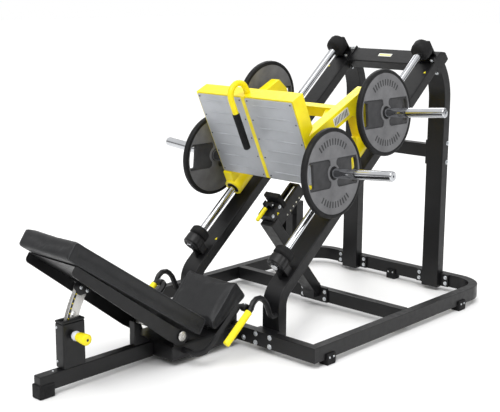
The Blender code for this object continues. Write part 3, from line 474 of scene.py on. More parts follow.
def tube(name, points, radius, material, matrix, cyclic=False):
    """A round cord along points."""
    curve = bpy.data.curves.new(name, "CURVE")
    curve.dimensions = "3D"
    curve.bevel_depth = radius
    curve.bevel_resolution = 2
    curve.use_fill_caps = not cyclic
    spline = curve.splines.new("POLY")
    spline.points.add(len(points) - 1)
    for point, place in zip(spline.points, points):
        point.co = (*place, 1)
    spline.use_cyclic_u = cyclic
    temp = bpy.data.objects.new(name, curve)
    bpy.context.scene.collection.objects.link(temp)
    return place_mesh(name, baked(temp), material, matrix, 60)


def merged(name, objects, body):
    """Join objects into one piece that rides on a body."""
    first = objects[0]
    with bpy.context.temp_override(active_object=first, selected_editable_objects=objects):
        if len(objects) > 1:
            bpy.ops.object.join()
    first.name = name
    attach(first, body)
    return first


def stand_for(piece, node):
    """Hide a CAD node that a new piece is shown in place of."""
    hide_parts(node)


def rectangle(low, high):
    """An outline between two corners."""
    return [low, (high[0], low[1]), high, (low[0], high[1])]


def arc(centre, radius, start, stop, steps):
    """Points on an arc, angles in degrees."""
    return [(centre[0] + radius * math.cos(math.radians(start + (stop - start) * i / steps)),
             centre[1] + radius * math.sin(math.radians(start + (stop - start) * i / steps)))
            for i in range(steps + 1)]


def rounded(loop, radius, steps=4):
    """A closed outline with each corner replaced by an arc-like curve."""
    made = []
    for i, corner in enumerate(loop):
        corner = Vector(corner)
        before = Vector(loop[i - 1])
        after = Vector(loop[(i + 1) % len(loop)])
        reach = min(radius, (before - corner).length / 2, (after - corner).length / 2)
        start = corner + (before - corner).normalized() * reach
        end = corner + (after - corner).normalized() * reach
        for k in range(steps + 1):
            t = k / steps
            point = start * (1 - t) ** 2 + corner * 2 * t * (1 - t) + end * t * t
            made.append(tuple(point))
    return made


def across(frame_matrix, x):
    """Places an outline's plane square to X: its axes become the frame's Y and Z."""
    turn = Matrix(((0, 0, 1, x), (1, 0, 0, 0), (0, 1, 0, 0), (0, 0, 0, 1)))
    return frame_matrix @ turn


def facing(point, direction, frame_matrix=FLAT):
    """A matrix at a point whose Z axis points along a direction, both in a frame."""
    turn = Vector(direction).to_track_quat("Z", "Y").to_matrix().to_4x4()
    return frame_matrix @ Matrix.Translation(point) @ turn


def up_slope(x, n):
    """A matrix whose Z axis runs up the slope at (x, n)."""
    return (SLOPE_FRAME @ Matrix.Translation((x, 0, n))
            @ Matrix.Rotation(-math.pi / 2, 4, "X"))


# ---- fasteners
def hex_bolt(matrix, radius):
    """A washer and a chamfered hexagon head standing on a surface."""
    washer = [(0, 0.0016), (radius * 1.45, 0.0016), (radius * 1.55, 0.0010), (radius * 1.55, 0)]
    parts = [turned("washer", washer, ZINC, matrix, 24)]
    bm = bmesh.new()
    place = Matrix.Translation((0, 0, 0.0015 + radius * 0.35))
    bmesh.ops.create_cone(bm, cap_ends=True, segments=6, radius1=radius, radius2=radius,
                          depth=radius * 0.7, matrix=place)
    bmesh.ops.bevel(bm, geom=[e for e in bm.edges if e.calc_face_angle(0) > 1.2],
                    offset=radius * 0.12, segments=2, affect="EDGES")
    parts.append(place_mesh("head", mesh_from("head", bm), ZINC, matrix, 30))
    return parts


def socket_screw(matrix, radius, material):
    """A domed screw head with a hexagon socket."""
    profile = [(0, radius * 0.18), (radius * 0.40, radius * 0.18), (radius * 0.46, radius * 0.52),
               (radius * 0.75, radius * 0.42), (radius * 0.95, radius * 0.16), (radius, 0)]
    return [turned("screw", profile, material, matrix, 18)]


def bolts(name, body, places, radius, kind=hex_bolt, **extra):
    """A set of fasteners joined into one piece that rides on a body."""
    pieces = []
    for matrix in places:
        pieces += kind(matrix, radius, **extra)
    return merged(name, pieces, body)


def frame_bolts():
    """Bolts on the base, the tubes' feet, the posts and the stop's flange."""
    front = (0, -1, 0)
    beam = [(side * x, 0, z) for side in (1, -1) for x in (0.270, 0.362) for z in (0.088, 0.042)]
    beam += [(side * 0.190, 0, 0.050) for side in (1, -1)]
    bolts("front_beam_bolts", "frame", [facing(p, front) for p in beam], 0.0085)

    flange_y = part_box("stop_frame")[1].y - FRONT_Y - 0.0117
    flange = [(side * 0.078, flange_y, z) for side in (1, -1) for z in (0.090, 0.050)]
    bolts("stop_flange_bolts", "frame", [facing(p, front) for p in flange], 0.0075)

    foot_y = BASE_LENGTH - BEAM_W - 0.0103
    posts = [(side * x, foot_y, z) for side in (1, -1) for x in (0.207, 0.389)
             for z in (0.083, 0.048)]
    bolts("post_flange_bolts", "frame", [facing(p, front) for p in posts], 0.0075)

    brace = []
    for side in (1, -1):
        for z in (0.764, 0.874):
            brace.append(facing((side * (TUBE_X + TUBE_HALF_W), 1.520, z), (side, 0, 0)))
    bolts("brace_bolts", "frame", brace, 0.0085)

    # the flanges where the tubes meet the post heads, then the top beam's end plates
    top = [facing((side * TUBE_X + x, FLANGE_S, n), (0, -1, 0), SLOPE_FRAME)
           for side in (1, -1) for x in (-0.040, 0.040) for n in (0.084, 0.176)]
    top += [facing((side * (TUBE_X - 0.040), 1.975, 0.168), (0, 0, 1), SLOPE_FRAME)
            for side in (1, -1)]
    bolts("head_bolts", "frame", top, 0.0075)

    feet = []
    for side in (1, -1):
        for y in (0.100, 0.130, 1.250, 1.280):
            feet.append(facing((side * (BASE_HALF_W + 0.012), y, 0.038), (side, 0, 0)))
    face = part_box("foot_rear_middle")[0].y - FRONT_Y
    feet += [facing((x, face, 0.042), front) for x in (-0.016, 0.016)]
    bolts("foot_screws", "frame", feet, 0.0055, socket_screw, material=ZINC)

    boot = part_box("front_boot")
    screws = [facing((0, boot[1].y - FRONT_Y + 0.012, 0.103), (0, 0, 1)),
              facing((-0.018, -0.9680, 0.288), front),
              facing((-0.018, -0.9680, 0.132), front)]
    bolts("post_screws", "frame", screws, 0.006, socket_screw, material=ZINC)


def rod_block_details():
    """Cap screws on the guide rods' lower blocks, and the yellow marks on the tubes."""
    screws = []
    for side in (1, -1):
        for x, n in ((-0.033, ROD_N + 0.012), (0.033, ROD_N + 0.012), (0, ROD_N + 0.035)):
            screws.append(facing((side * TUBE_X + x, ROD_BLOCK_S, n), (0, -1, 0), SLOPE_FRAME))
    bolts("rod_block_screws", "frame", screws, 0.006, socket_screw, material=DARK_STEEL)

    marks = []
    triangle = rounded([(-0.008, -0.006), (0.008, -0.006), (0, 0.009)], 0.002, 2)
    for x, s in ((0.041 - TUBE_X, 0.470), (TUBE_X + 0.037, 1.815), (-TUBE_X - 0.043, 1.815)):
        place = SLOPE_FRAME @ Matrix.Translation((x, s, TUBE_N + 0.0003))
        marks.append(outline("mark", [triangle], 0.0008, 0.0001, YELLOW_PLASTIC, place))
    merged("tube_marks", marks, "frame")


# ---- foot plate
def foot_panel(side, word):
    """Ribbed aluminium panel with its edge screws."""
    edge = 0.008
    low, high = PANEL_INNER_X, FOOT_HALF_W - edge
    body = rounded([(low, -edge), (low, -FOOT_LENGTH), (high, -FOOT_LENGTH), (high, -edge)],
                   0.010)
    turn = Matrix(((side, 0, 0, 0), (0, 0, -side, PANEL_FACE + PANEL_T / 2), (0, 1, 0, 0),
                   (0, 0, 0, 1)))
    parts = [outline("sheet", [body], PANEL_T, 0.0008, PANEL, FOOT_FRAME @ turn)]
    for i in range(RIB_COUNT):
        down = RIB_FIRST + RIB_STEP * i
        bm = bmesh.new()
        bmesh.ops.create_uvsphere(bm, u_segments=24, v_segments=12, radius=1.0)
        for vert in bm.verts:
            vert.co.x = math.copysign(abs(vert.co.x) ** 0.25, vert.co.x) if vert.co.x else 0
        bmesh.ops.scale(bm, vec=RIB_SIZE, verts=bm.verts)
        place = FOOT_FRAME @ Matrix.Translation((side * RIB_MIDDLE_X, PANEL_FACE, -down))
        parts.append(place_mesh("rib", mesh_from("rib", bm), PANEL, place, 60))
    for x in (low + 0.014, high - 0.012):
        for i in range(5):
            down = 0.022 + (FOOT_LENGTH - 0.040) * i / 4
            place = facing((side * x, PANEL_FACE, -down), (0, -1, 0), FOOT_FRAME)
            parts += socket_screw(place, 0.0042, DARK_STEEL)
    panel = merged(f"tread_panel_{word}", parts, "carriage")
    stand_for(panel, f"foot_panel_{word}")


def loop_grip():
    """Rubber grip with fine rings on the end of the hand loop."""
    top = 0.0553
    length = 0.207
    rings = 26
    profile = [(0, -top), (0.0168, -top)]
    for i in range(rings):
        z = -top - 0.004 - (length - 0.022) * i / rings
        profile += [(0.0182, z), (0.0182, z - 0.0045), (0.0173, z - 0.0055), (0.0173, z - 0.0066)]
    profile += [(0.0182, -top - length + 0.014), (0.0170, -top - length + 0.006),
                (0.0125, -top - length + 0.0015), (0, -top - length)]
    place = FOOT_FRAME @ Matrix.Translation((0, HANDLE_W, 0))
    grip = merged("loop_grip", [turned("grip", profile, RUBBER, place, 40)], "carriage")
    stand_for(grip, "carriage_handle_grip")


def bearing_seals():
    """Rubber seals in both ends of the carriage's bearing housings."""
    inner, outer, depth = 0.0206, 0.0355, 0.012
    seals = []
    for side in (1, -1):
        for s, way in zip(HOUSING_ENDS, (1, -1)):
            ring = [(inner, s - way * 0.001), (0.0240, s - way * 0.002), (outer, s),
                    (outer, s + way * depth), (inner, s + way * depth),
                    (inner, s - way * 0.001)]
            seals.append(turned("seal", ring, RUBBER, up_slope(side * TUBE_X, ROD_N), 40))
    merged("bearing_seals", seals, "carriage")


def arm_labels():
    """A pale blank plate with plain stripes on the outer face of each arm."""
    labels = []
    half_w, half_h = 0.064, 0.022
    sheet = rounded(rectangle((-half_w, -half_h), (half_w, half_h)), 0.004, 2)
    for side in (1, -1):
        place = (across(FLAT, side * (ARM_FACE_X + 0.0004))
                 @ Matrix.Translation((0.560, 1.109, 0)) @ Matrix.Rotation(FOOT_TILT, 4, "Z"))
        labels.append(outline("label", [sheet], 0.0006, 0.0001, LABEL_WHITE, place))
        raised = place @ Matrix.Translation((0, 0, side * 0.0004))
        for i in range(9):
            a = -0.054 + 0.0125 * i
            stripe = [(a - 0.004, -0.017), (a + 0.001, -0.017), (a + 0.007, 0.017),
                      (a + 0.002, 0.017)]
            labels.append(outline("stripe", [stripe], 0.0006, 0.0001, DARK_STEEL, raised))
    merged("arm_labels", labels, "carriage")


def arm_screws():
    """Painted screws in the horn seats of the carriage's arms."""
    screws = []
    for side in (1, -1):
        for w, up in ((0.300, -0.436), (0.334, -0.436), (0.520, -0.340), (0.548, -0.340)):
            screws.append(facing((side * ARM_FACE_X, w, up), (side, 0, 0), FOOT_FRAME))
    bolts("arm_screws", "carriage", screws, 0.0065, socket_screw, material=YELLOW_PAINT)


# ---- weight plates
def horn_matrix(side, place):
    """Z axis outward along a horn, origin at the plate's outer face."""
    turn = Matrix.Rotation(side * (math.pi / 2 - HORN_TILT), 4, "Y")
    return FLAT @ Matrix.Translation((side * PLATE_FACE_X, *place)) @ turn


def pocket_outline():
    """One side's recess in a plate: from the neck and the hub's circle out to the rim."""
    neck, half = POCKET_NECK, POCKET_HALF_B
    hub_angle = math.degrees(math.acos(neck / POCKET_HUB_R))
    rim_angle = math.degrees(math.asin(half / POCKET_RIM_R))
    corner = 0.020
    upper = arc((neck + corner, half - corner), corner, 90, 180, 6)
    lower = [(a, -b) for a, b in reversed(upper)]
    rim = arc((0, 0), POCKET_RIM_R, -rim_angle, rim_angle, 12)
    hub = arc((0, 0), POCKET_HUB_R, hub_angle, -hub_angle, 12)
    return lower + rim + upper + hub


def slot_outline():
    """The hand slot through a pocket's outer end."""
    reach = POCKET_RIM_R - 0.003
    angle = math.degrees(math.asin(SLOT_HALF_B / reach))
    corners = [(SLOT_INNER, -SLOT_HALF_B)] + arc((0, 0), reach, -angle, angle, 4)
    return rounded(corners + [(SLOT_INNER, SLOT_HALF_B)], 0.008)


def weight_plate(side, word, level, place):
    """Rubber rim, dark core with hand slots, and raised grey faces front and back."""
    matrix = horn_matrix(side, place) @ Matrix.Rotation(math.pi / 2, 4, "Z")
    slots, pockets = [], []
    for hand in (1, -1):
        slots.append([(hand * a, b) for a, b in slot_outline()])
        pockets.append([(hand * a, b) for a, b in pocket_outline()])
    rim_r = PLATE_RIM_R
    ring = arc((0, 0), rim_r + 0.0015, 0, 360, 96)[:-1]
    hub = arc((0, 0), 0.033, 0, 360, 48)[:-1]
    back = matrix @ Matrix.Translation((0, 0, -PLATE_T / 2))
    parts = [outline("core", [ring, hub] + slots, 0.017, 0.001, POCKET_GREY, back)]
    for height in (-0.0050, -PLATE_T + 0.0050):
        face = matrix @ Matrix.Translation((0, 0, height))
        parts.append(outline("face", [ring, hub] + pockets, 0.0062, 0.0012, FACE_GREY, face))
    low = -PLATE_T
    rim = [(rim_r, -0.003), (0.2075, -0.0005), (0.2160, 0), (0.2215, -0.0025), (0.2245, -0.0080),
           (PLATE_R, -0.0120), (PLATE_R, low + 0.0120), (0.2245, low + 0.0080),
           (0.2215, low + 0.0025), (0.2160, low), (0.2075, low + 0.0005), (rim_r, low + 0.003),
           (rim_r, -0.003)]
    parts.append(turned("rim", rim, RIM_RUBBER, matrix, 128))
    bore = HORN_R + 0.0012
    sleeve = [(bore, 0.0006), (0.0300, 0.0006), (0.0335, -0.0012), (0.0350, -0.0040),
              (0.0350, low + 0.0040), (0.0335, low + 0.0012), (0.0300, low - 0.0002),
              (bore, low - 0.0002), (bore, 0.0006)]
    parts.append(turned("sleeve", sleeve, RIM_RUBBER, matrix, 64))
    lift = matrix @ Matrix.Translation((0, 0, -0.0019))
    inner, outer = MARK_R
    sweep, wide = 76, 3.2
    for start in (52, -128):
        for i in range(MARK_COUNT):
            a = start + sweep * i / (MARK_COUNT - 1) - wide / 2
            bar = rounded(arc((0, 0), outer, a, a + wide, 3) + arc((0, 0), inner, a + wide, a, 3),
                          0.002, 2)
            parts.append(outline("bar", [bar], 0.0014, 0.0004, POCKET_GREY, lift))
    plate = merged(f"disc_{level}_{word}", parts, f"plate_{level}_{word}_body")
    stand_for(plate, f"plate_{level}_{word}")


# ---- cushions
def inset(loop, distance):
    """A convex outline moved inward by a distance."""
    lines = []
    middle = sum((Vector(p) for p in loop), Vector((0, 0))) / len(loop)
    for i, start in enumerate(loop):
        start = Vector(start)
        along = (Vector(loop[(i + 1) % len(loop)]) - start).normalized()
        normal = Vector((-along.y, along.x))
        if (middle - start).dot(normal) < 0:
            normal = -normal
        lines.append((start + normal * distance, along))
    made = []
    for i in range(len(lines)):
        (p, d), (q, e) = lines[i - 1], lines[i]
        cross = d.x * e.y - d.y * e.x
        made.append(tuple(p + d * (((q - p).x * e.y - (q - p).y * e.x) / cross)))
    return made


def tree_of(points):
    """A search tree over points."""
    tree = KDTree(len(points))
    for i, point in enumerate(points):
        tree.insert(point, i)
    tree.balance()
    return tree


def inflate(pad, seams, resting):
    """Swell a pad with a short cloth simulation; its seams and its underside stay put."""
    remesh = pad.modifiers.new("remesh", "REMESH")
    remesh.mode = "VOXEL"
    remesh.voxel_size = CUSHION_MESH
    name, matrix = pad.name, pad.matrix_world.copy()
    mesh = baked(pad)
    pad = place_mesh(name, mesh, VINYL, matrix, 80)
    start = [vert.co.copy() for vert in mesh.vertices]
    pinned = pad.vertex_groups.new(name="resting")
    pinned.add([i for i, co in enumerate(start) if resting(matrix @ co)], 1.0, "REPLACE")
    cloth = pad.modifiers.new("cloth", "CLOTH")
    settings = cloth.settings
    settings.quality = 6
    settings.mass = 0.4
    settings.tension_stiffness = 18
    settings.compression_stiffness = 18
    settings.bending_stiffness = 2.0
    settings.use_pressure = True
    settings.uniform_pressure_force = 4.0
    settings.effector_weights.gravity = 0.0
    settings.vertex_group_mass = "resting"
    cloth.point_cache.frame_start = 1
    cloth.point_cache.frame_end = CLOTH_FRAMES
    scene = bpy.context.scene
    for number in range(1, CLOTH_FRAMES + 1):
        scene.frame_set(number)
    graph = bpy.context.evaluated_depsgraph_get()
    moved = [vert.co.copy() for vert in pad.evaluated_get(graph).data.vertices]
    pad.modifiers.remove(cloth)
    scene.frame_set(1)
    inverse = matrix.inverted()
    held = tree_of([inverse @ point for seam in seams for point in seam])
    for vert, before, after in zip(mesh.vertices, start, moved):
        step = after - before
        if step.length > CUSHION_SWELL:
            step *= CUSHION_SWELL / step.length
        free = min(held.find(before)[2] / CUSHION_EDGE, 1.0)
        vert.co = before + step * free * free * (3 - 2 * free)
    smooth = pad.modifiers.new("smooth", "SMOOTH")
    smooth.factor = 0.5
    smooth.iterations = 2
    return place_mesh(name, baked(pad), VINYL, matrix, 80)


def sew(pad, seams, body, name):
    """Sink closed seams into a pad along world-space points, and lay piping in them."""
    inverse = pad.matrix_world.inverted()
    tree = BVHTree.FromPolygons([v.co for v in pad.data.vertices],
                                [p.vertices for p in pad.data.polygons])
    cords = []
    seam_points = []
    for seam in seams:
        snapped = []
        for point in seam:
            place, normal, _, _ = tree.find_nearest(inverse @ point)
            seam_points.append(place.copy())
            snapped.append(pad.matrix_world @ (place - normal * SEAM_DEPTH * 0.35))
        cords.append(tube("cord", snapped, CORD_R, THREAD, Matrix.Identity(4), True))
    near = tree_of(seam_points)
    for vert in pad.data.vertices:
        distance = near.find(vert.co)[2]
        if distance < SEAM_REACH:
            fall = (1 - distance / SEAM_REACH) ** 2
            vert.co -= vert.normal * SEAM_DEPTH * fall
    merged(name, cords, body)
    pad.modifiers.new("subdivide", "SUBSURF").render_levels = 1


def resample(path, step):
    """Points every step metres along a closed list of points."""
    made = []
    for start, end in zip(path, path[1:] + path[:1]):
        count = max(1, round((end - start).length / step))
        made += [start.lerp(end, i / count) for i in range(count)]
    return made


def cushion(name, side, half_width, matrix, resting, body):
    """A sewn cushion: a crowned form over a side outline, with piping along its seams."""
    line = rounded(inset(side, CUSHION_TRIM), CUSHION_END_R, 5)
    pad = outline(name, [line], 2 * (half_width - CUSHION_TRIM), CUSHION_CORNER, VINYL,
                  across(matrix, 0))
    seams = []
    for edge_x in (half_width - SEAM_INSET, SEAM_INSET - half_width):
        seams.append(resample([matrix @ Vector((edge_x, y, z)) for y, z in line], 0.008))
    pad = inflate(pad, seams, resting)
    sew(pad, seams, body, name.replace("cushion", "seams"))
    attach(pad, body)
    stand_for(pad, name.replace("cushion", "pad"))


def backrest_pad():
    """The long cushion; its underside lies in its own frame's plane z = 0."""
    near, far = PAD_Y
    inverse = PAD_FRAME.inverted()
    cushion("backrest_cushion", rectangle((near, 0), (far, PAD_T)), PAD_HALF_W, PAD_FRAME,
            lambda point: (inverse @ point).z < REST_DEPTH, "backrest")


def seat_pad():
    """The wedge cushion; its underside joins the last two corners of its outline."""
    low, high = (Vector(corner) for corner in SEAT_WEDGE[2:])
    under = (high - low).normalized()
    normal = Vector((under.y, -under.x))

    def resting(point):
        flat = Vector((point.y - FRONT_Y, point.z)) - low
        return flat.dot(normal) > -REST_DEPTH

    cushion("seat_cushion", SEAT_WEDGE, SEAT_HALF_W, FLAT, resting, "frame")


# ---- backrest fittings
def recline_fittings():
    """The curved bar's scale and its bracket, and a disc on each end of the pivot shaft."""
    pivot = (PIVOT.y - FRONT_Y, PIVOT.z)
    face = ARC_FACE + 0.0004
    strip = (arc(pivot, ARC_R[1] - 0.005, 180 - 14.5, 180 - 31, 12)
             + arc(pivot, ARC_R[1] - 0.015, 180 - 31, 180 - 14.5, 12))
    parts = [outline("strip", [strip], 0.0010, 0.0002, DARK_STEEL, across(FLAT, face))]
    for i in range(7):
        a = 180 - 15.6 - 2.35 * i
        mark = (arc(pivot, ARC_R[1] - 0.0068, a, a - 0.55, 1)
                + arc(pivot, ARC_R[1] - 0.0132, a - 0.55, a, 1))
        parts.append(outline("mark", [mark], 0.0012, 0.0002, YELLOW_PLASTIC,
                             across(FLAT, face + 0.0004)))
    merged("recline_scale", parts, "backrest")

    plate = rounded([(-0.895, 0.462), (-0.862, 0.416), (-0.795, 0.420), (-0.775, 0.452),
                     (-0.800, 0.500), (-0.860, 0.500)], 0.008, 3)
    bracket = outline("plate", [plate], 0.006, 0.001, BLACK_PAINT, across(FLAT, ARC_FACE + 0.0035))
    places = [facing((ARC_FACE + 0.0065, y, z), (1, 0, 0))
              for y, z in ((-0.853, 0.452), (-0.820, 0.431))]
    heads = [piece for place in places for piece in socket_screw(place, 0.0095, ZINC)]
    merged("recline_bracket", [bracket] + heads, "backrest")

    discs = []
    profile = [(0, 0.0030), (0.0035, 0.0030), (0.0045, 0.0052), (0.0180, 0.0060),
               (0.0215, 0.0052), (0.0235, 0.0030), (0.0235, 0.0), (0, 0.0)]
    shaft_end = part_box("pivot_shaft")[1].x - 0.0002
    for side in (1, -1):
        discs.append(turned("disc", profile, STAINLESS,
                            facing((side * shaft_end, *pivot), (side, 0, 0)), 48))
    merged("pivot_discs", discs, "frame")


def pull_pin():
    """The pull pin's fluted knob with its stud, and the collar it sits in."""
    low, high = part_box("pin_knob")
    centre = (low + high) / 2
    place = facing((0, centre.y - FRONT_Y, centre.z), (1, 0, 0))
    knob = fluted("knob", [(0.0200, low.x), (0.0215, low.x + 0.010), (0.0240, high.x - 0.036),
                           (0.0258, high.x - 0.014), (0.0260, high.x - 0.006),
                           (0.0220, high.x - 0.001), (0.0100, high.x)], 12, 0.0009,
                  YELLOW_PLASTIC, place)
    stud = [(0, high.x + 0.0012), (0.0045, high.x + 0.0012), (0.0065, high.x), (0, high.x)]
    parts = [knob, turned("stud", stud, DARK_STEEL, place, 24)]
    stand_for(merged("pull_knob", parts, "pull_pin"), "pin_knob")

    low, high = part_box("pin_collar")
    profile = [(0, high.x), (0.0170, high.x), (0.0190, high.x - 0.0015), (0.0210, high.x - 0.006),
               (0.0225, high.x - 0.013), (0.0225, low.x + 0.009), (0.0205, low.x + 0.006),
               (0.0205, low.x + 0.0035), (0.0190, low.x + 0.0005), (0, low.x + 0.0005)]
    collar = merged("pull_collar", [turned("collar", profile, GREY_PLASTIC, place, 48)],
                    "pull_pin")
    stand_for(collar, "pin_collar")


def fluted(name, profile, count, depth, material, matrix):
    """A turned solid whose skin is cut by shallow flutes."""
    steps = count * 6
    widest = max(radius for radius, _ in profile)
    bm = bmesh.new()
    rings = []
    for radius, height in profile:
        ring = []
        for i in range(steps):
            a = math.tau * i / steps
            r = radius - depth * (0.5 + 0.5 * math.cos(count * a)) * (radius / widest)
            ring.append(bm.verts.new((r * math.cos(a), r * math.sin(a), height)))
        rings.append(ring)
    for lower, upper in zip(rings, rings[1:]):
        for i in range(steps):
            j = (i + 1) % steps
            bm.faces.new((lower[i], lower[j], upper[j], upper[i]))
    bm.faces.new(list(reversed(rings[0])))
    bm.faces.new(rings[-1])
    return place_mesh(name, mesh_from(name, bm), material, matrix, 50)


def hand_grips():
    """Yellow grips with fine rings, and the round joints that hold them to the side bars."""
    start, top = Vector(GRIP_LOW), Vector(GRIP_TOP)
    heading = (top - start).normalized()
    length = (top - start).length
    rings = 18
    profile = [(0, length), (0.0150, length), (0.0174, length - 0.002),
               (0.0174, length - 0.008), (0.0166, length - 0.010)]
    for i in range(rings):
        z = length - 0.012 - (length - 0.034) * i / rings
        profile += [(0.0173, z), (0.0173, z - 0.0060), (0.0167, z - 0.0068),
                    (0.0167, z - 0.0078)]
    profile += [(0.0174, 0.016), (0.0172, 0.006), (0.0150, 0.0015), (0.0080, 0.0), (0, 0.0)]

    inner, outer = GRIP_JOINT_X
    long, edge = outer - inner, 0.0025
    sleeve = [(0, long), (GRIP_JOINT_R - edge, long), (GRIP_JOINT_R, long - edge),
              (GRIP_JOINT_R, edge), (GRIP_JOINT_R - edge, 0), (0, 0)]
    joint_y, joint_z = GRIP_JOINT
    joints = []
    for side, word in ((1, "right"), (-1, "left")):
        place = facing((side * inner, joint_y, joint_z), (side, 0, 0))
        joints.append(turned("joint", sleeve, BLACK_PAINT, place, 40))
        crown = (side * (inner + outer) / 2, joint_y, joint_z + GRIP_JOINT_R)
        joints += socket_screw(facing(crown, (0, 0, 1)), 0.006, ZINC)
        place = facing((side * GRIP_X, *start), (0, *heading))
        grip = merged(f"side_grip_{word}", [turned("grip", profile, YELLOW_PLASTIC, place, 40)],
                      "frame")
        stand_for(grip, f"hand_grip_{word}")
    merged("grip_joints", joints, "frame")


# ---- stop, badge, boot
def stop_lever():
    """Release lever of the stop: a black hub and stem, a plated pin, and a yellow grip pushed on."""
    grip_end, grip_start = 0.588, 0.672
    grip = [(0, grip_end), (0.0080, grip_end), (0.0104, grip_end + 0.003),
            (0.0110, grip_end + 0.010), (0.0110, grip_start - 0.008), (0.0118, grip_start - 0.004),
            (0.0118, grip_start), (0, grip_start)]
    up = up_slope(0, LEVER_N)
    stem = [(0, grip_start + 0.0002), (0.0085, grip_start + 0.0002), (0.0085, LEVER_S),
            (0, LEVER_S)]
    pivot = facing((0, LEVER.y - FRONT_Y, LEVER.z), (1, 0, 0))
    hub = [(0, -0.019), (0.0105, -0.019), (0.0120, -0.0175), (0.0120, 0.0175),
           (0.0105, 0.019), (0, 0.019)]
    pin = [(0, -0.030), (0.0040, -0.030), (0.0050, -0.029), (0.0050, 0.029), (0.0040, 0.030),
           (0, 0.030)]
    parts = [turned("grip", grip, YELLOW_PLASTIC, up, 32), turned("stem", stem, BLACK_PAINT, up, 24),
             turned("hub", hub, BLACK_PAINT, pivot, 32), turned("pin", pin, ZINC, pivot, 24)]
    stand_for(merged("release_lever", parts, "stop_release"), "stop_lever")


def stop_details():
    """Position dots along the rail, screws, and the yellow pointer on the block."""
    dots = []
    for side in (1, -1):
        for i in range(5):
            place = facing((side * RAIL_HALF_W, 0.745 + 0.030 * i, 0.116), (side, 0, 0),
                           SLOPE_FRAME)
            profile = [(0, 0.0008), (0.0042, 0.0008), (0.0050, 0.0)]
            dots.append(turned("dot", profile, LABEL_WHITE, place, 18))
    merged("rail_dots", dots, "frame")

    screws = []
    for side in (1, -1):
        for s in (0.655, 0.722):
            screws.append(facing((side * STOP_HALF_W, s, 0.208), (side, 0, 0), SLOPE_FRAME))
    bolts("stop_block_screws", "stop_slider", screws, 0.0065)

    pointer = rounded([(0.682, 0.184), (0.700, 0.184), (0.691, 0.200)], 0.002, 2)
    marks = [outline("pointer", [pointer], 0.0010, 0.0002, YELLOW_PLASTIC,
                     across(SLOPE_FRAME, side * (STOP_HALF_W + 0.0004))) for side in (1, -1)]
    merged("stop_pointer", marks, "stop_slider")


def badge():
    """Blank pale badge on the top beam."""
    loop = rounded(rectangle((-0.046, 1.920), (0.046, 1.944)), 0.004, 3)
    place = SLOPE_FRAME @ Matrix.Translation((0, 0, TUBE_N + 0.0006))
    plate = outline("plate", [loop], 0.0014, 0.0004, LABEL_WHITE, place)
    line = rounded(rectangle((-0.036, 1.929), (0.036, 1.935)), 0.002, 2)
    place = SLOPE_FRAME @ Matrix.Translation((0, 0, TUBE_N + 0.0014))
    stripe = outline("stripe", [line], 0.0008, 0.0002, YELLOW_PLASTIC, place)
    merged("beam_badge", [plate, stripe], "frame")


def boot_relief():
    """Raised outline on the sides of the front boot."""
    low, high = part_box("front_boot")
    y = low.y - FRONT_Y
    lines = []
    for side in (1, -1):
        path = [(y + 0.026, 0.006), (y + 0.026, 0.040), (y + 0.032, 0.047), (y + 0.072, 0.050)]
        points = [(side * high.x, a, b) for a, b in path]
        lines.append(tube("line", points, 0.0016, RUBBER, FLAT))
    merged("boot_relief", lines, "frame")


# ---- stage
def studio_world(scene):
    """White to the camera; for light and reflections, bright overhead and dim at the horizon."""
    world = bpy.data.worlds.new("studio")
    scene.world = world
    world.use_nodes = True
    nodes, link = world.node_tree.nodes, world.node_tree.links.new
    where = nodes.new("ShaderNodeTexCoord")
    split = nodes.new("ShaderNodeSeparateXYZ")
    link(where.outputs["Generated"], split.inputs["Vector"])
    ramp = nodes.new("ShaderNodeValToRGB")
    link(split.outputs["Z"], ramp.inputs["Fac"])
    stops = ramp.color_ramp.elements
    for element, position, grey in ((stops[0], 0.10, 0.14), (stops[1], 0.50, 1.0)):
        element.position = position
        element.color = (grey, grey, grey, 1.0)
    light_path = nodes.new("ShaderNodeLightPath")
    mix = nodes.new("ShaderNodeMix")
    mix.data_type = "RGBA"
    link(light_path.outputs["Is Camera Ray"], mix.inputs["Factor"])
    link(ramp.outputs["Color"], mix.inputs["A"])
    mix.inputs["B"].default_value = (1.0, 1.0, 1.0, 1.0)
    link(mix.outputs["Result"], nodes["Background"].inputs["Color"])


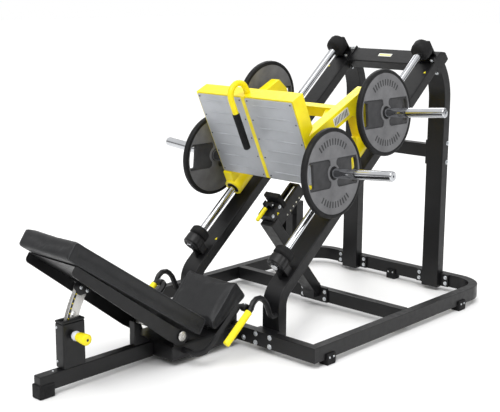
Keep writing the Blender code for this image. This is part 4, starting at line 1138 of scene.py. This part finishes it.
def stage():
    """Pale floor and soft studio light."""
    scene = bpy.context.scene
    bm = bmesh.new()
    bmesh.ops.create_grid(bm, x_segments=2, y_segments=2, size=40.0)
    floor_paint = Nodes("floor_pale", (0.90, 0.90, 0.90), 0.55)
    floor_paint.vary_roughness(floor_paint.noise(2.0), 0.50, 0.60)
    floor = place_mesh("floor", mesh_from("floor", bm), floor_paint.material,
                       Matrix.Translation((0, 0, -0.0005)))

    studio_world(scene)
    sun = bpy.data.lights.new("overhead", "SUN")
    sun.energy = 1.5
    sun.angle = math.radians(50)
    obj = bpy.data.objects.new("overhead", sun)
    scene.collection.objects.link(obj)
    obj.rotation_euler = (math.radians(28), math.radians(12), 0)

    centre = Vector((0, 0, 0.6))
    for name, place, size, power in (("key", (1.8, -3.6, 4.6), 2.2, 60),
                                     ("side", (4.6, 0.6, 2.6), 1.6, 30),
                                     ("back", (-2.8, 3.4, 3.8), 2.2, 60)):
        lamp = bpy.data.lights.new(name, "AREA")
        lamp.shape = "DISK"
        lamp.size = size
        lamp.energy = power
        obj = bpy.data.objects.new(name, lamp)
        scene.collection.objects.link(obj)
        obj.location = place
        obj.rotation_euler = (centre - Vector(place)).to_track_quat("-Z", "Y").to_euler()
    scene.view_settings.view_transform = "Standard"


def camera():
    """Long-lens camera, low and to one side of the head end."""
    data = bpy.data.cameras.new("camera")
    data.sensor_fit = "HORIZONTAL"
    data.sensor_width = 36.0
    data.lens = CAMERA_LENS
    data.shift_x, data.shift_y = CAMERA_SHIFT
    obj = bpy.data.objects.new("camera", data)
    bpy.context.scene.collection.objects.link(obj)
    sin_a, cos_a = math.sin(CAMERA_AZIMUTH), math.cos(CAMERA_AZIMUTH)
    sin_e, cos_e = math.sin(CAMERA_ELEVATION), math.cos(CAMERA_ELEVATION)
    sin_r, cos_r = math.sin(CAMERA_ROLL), math.cos(CAMERA_ROLL)
    back = Vector((sin_a * cos_e, -cos_a * cos_e, sin_e))
    right = Vector((cos_a, sin_a, 0))
    up = back.cross(right)
    turn = Matrix((right * cos_r + up * sin_r, up * cos_r - right * sin_r, back))
    place = Matrix.Translation(CAMERA_PLACE)
    obj.matrix_world = FLAT @ place @ turn.transposed().to_4x4()
    bpy.context.scene.camera = obj


# ---- build
dress_all()
backrest_pad()
seat_pad()
for side, word in ((1, "right"), (-1, "left")):
    foot_panel(side, word)
    weight_plate(side, word, "low", HORN_LOW)
    weight_plate(side, word, "high", HORN_HIGH)
frame_bolts()
rod_block_details()
loop_grip()
bearing_seals()
arm_labels()
arm_screws()
recline_fittings()
pull_pin()
hand_grips()
stop_lever()
stop_details()
badge()
boot_relief()
stage()
camera()
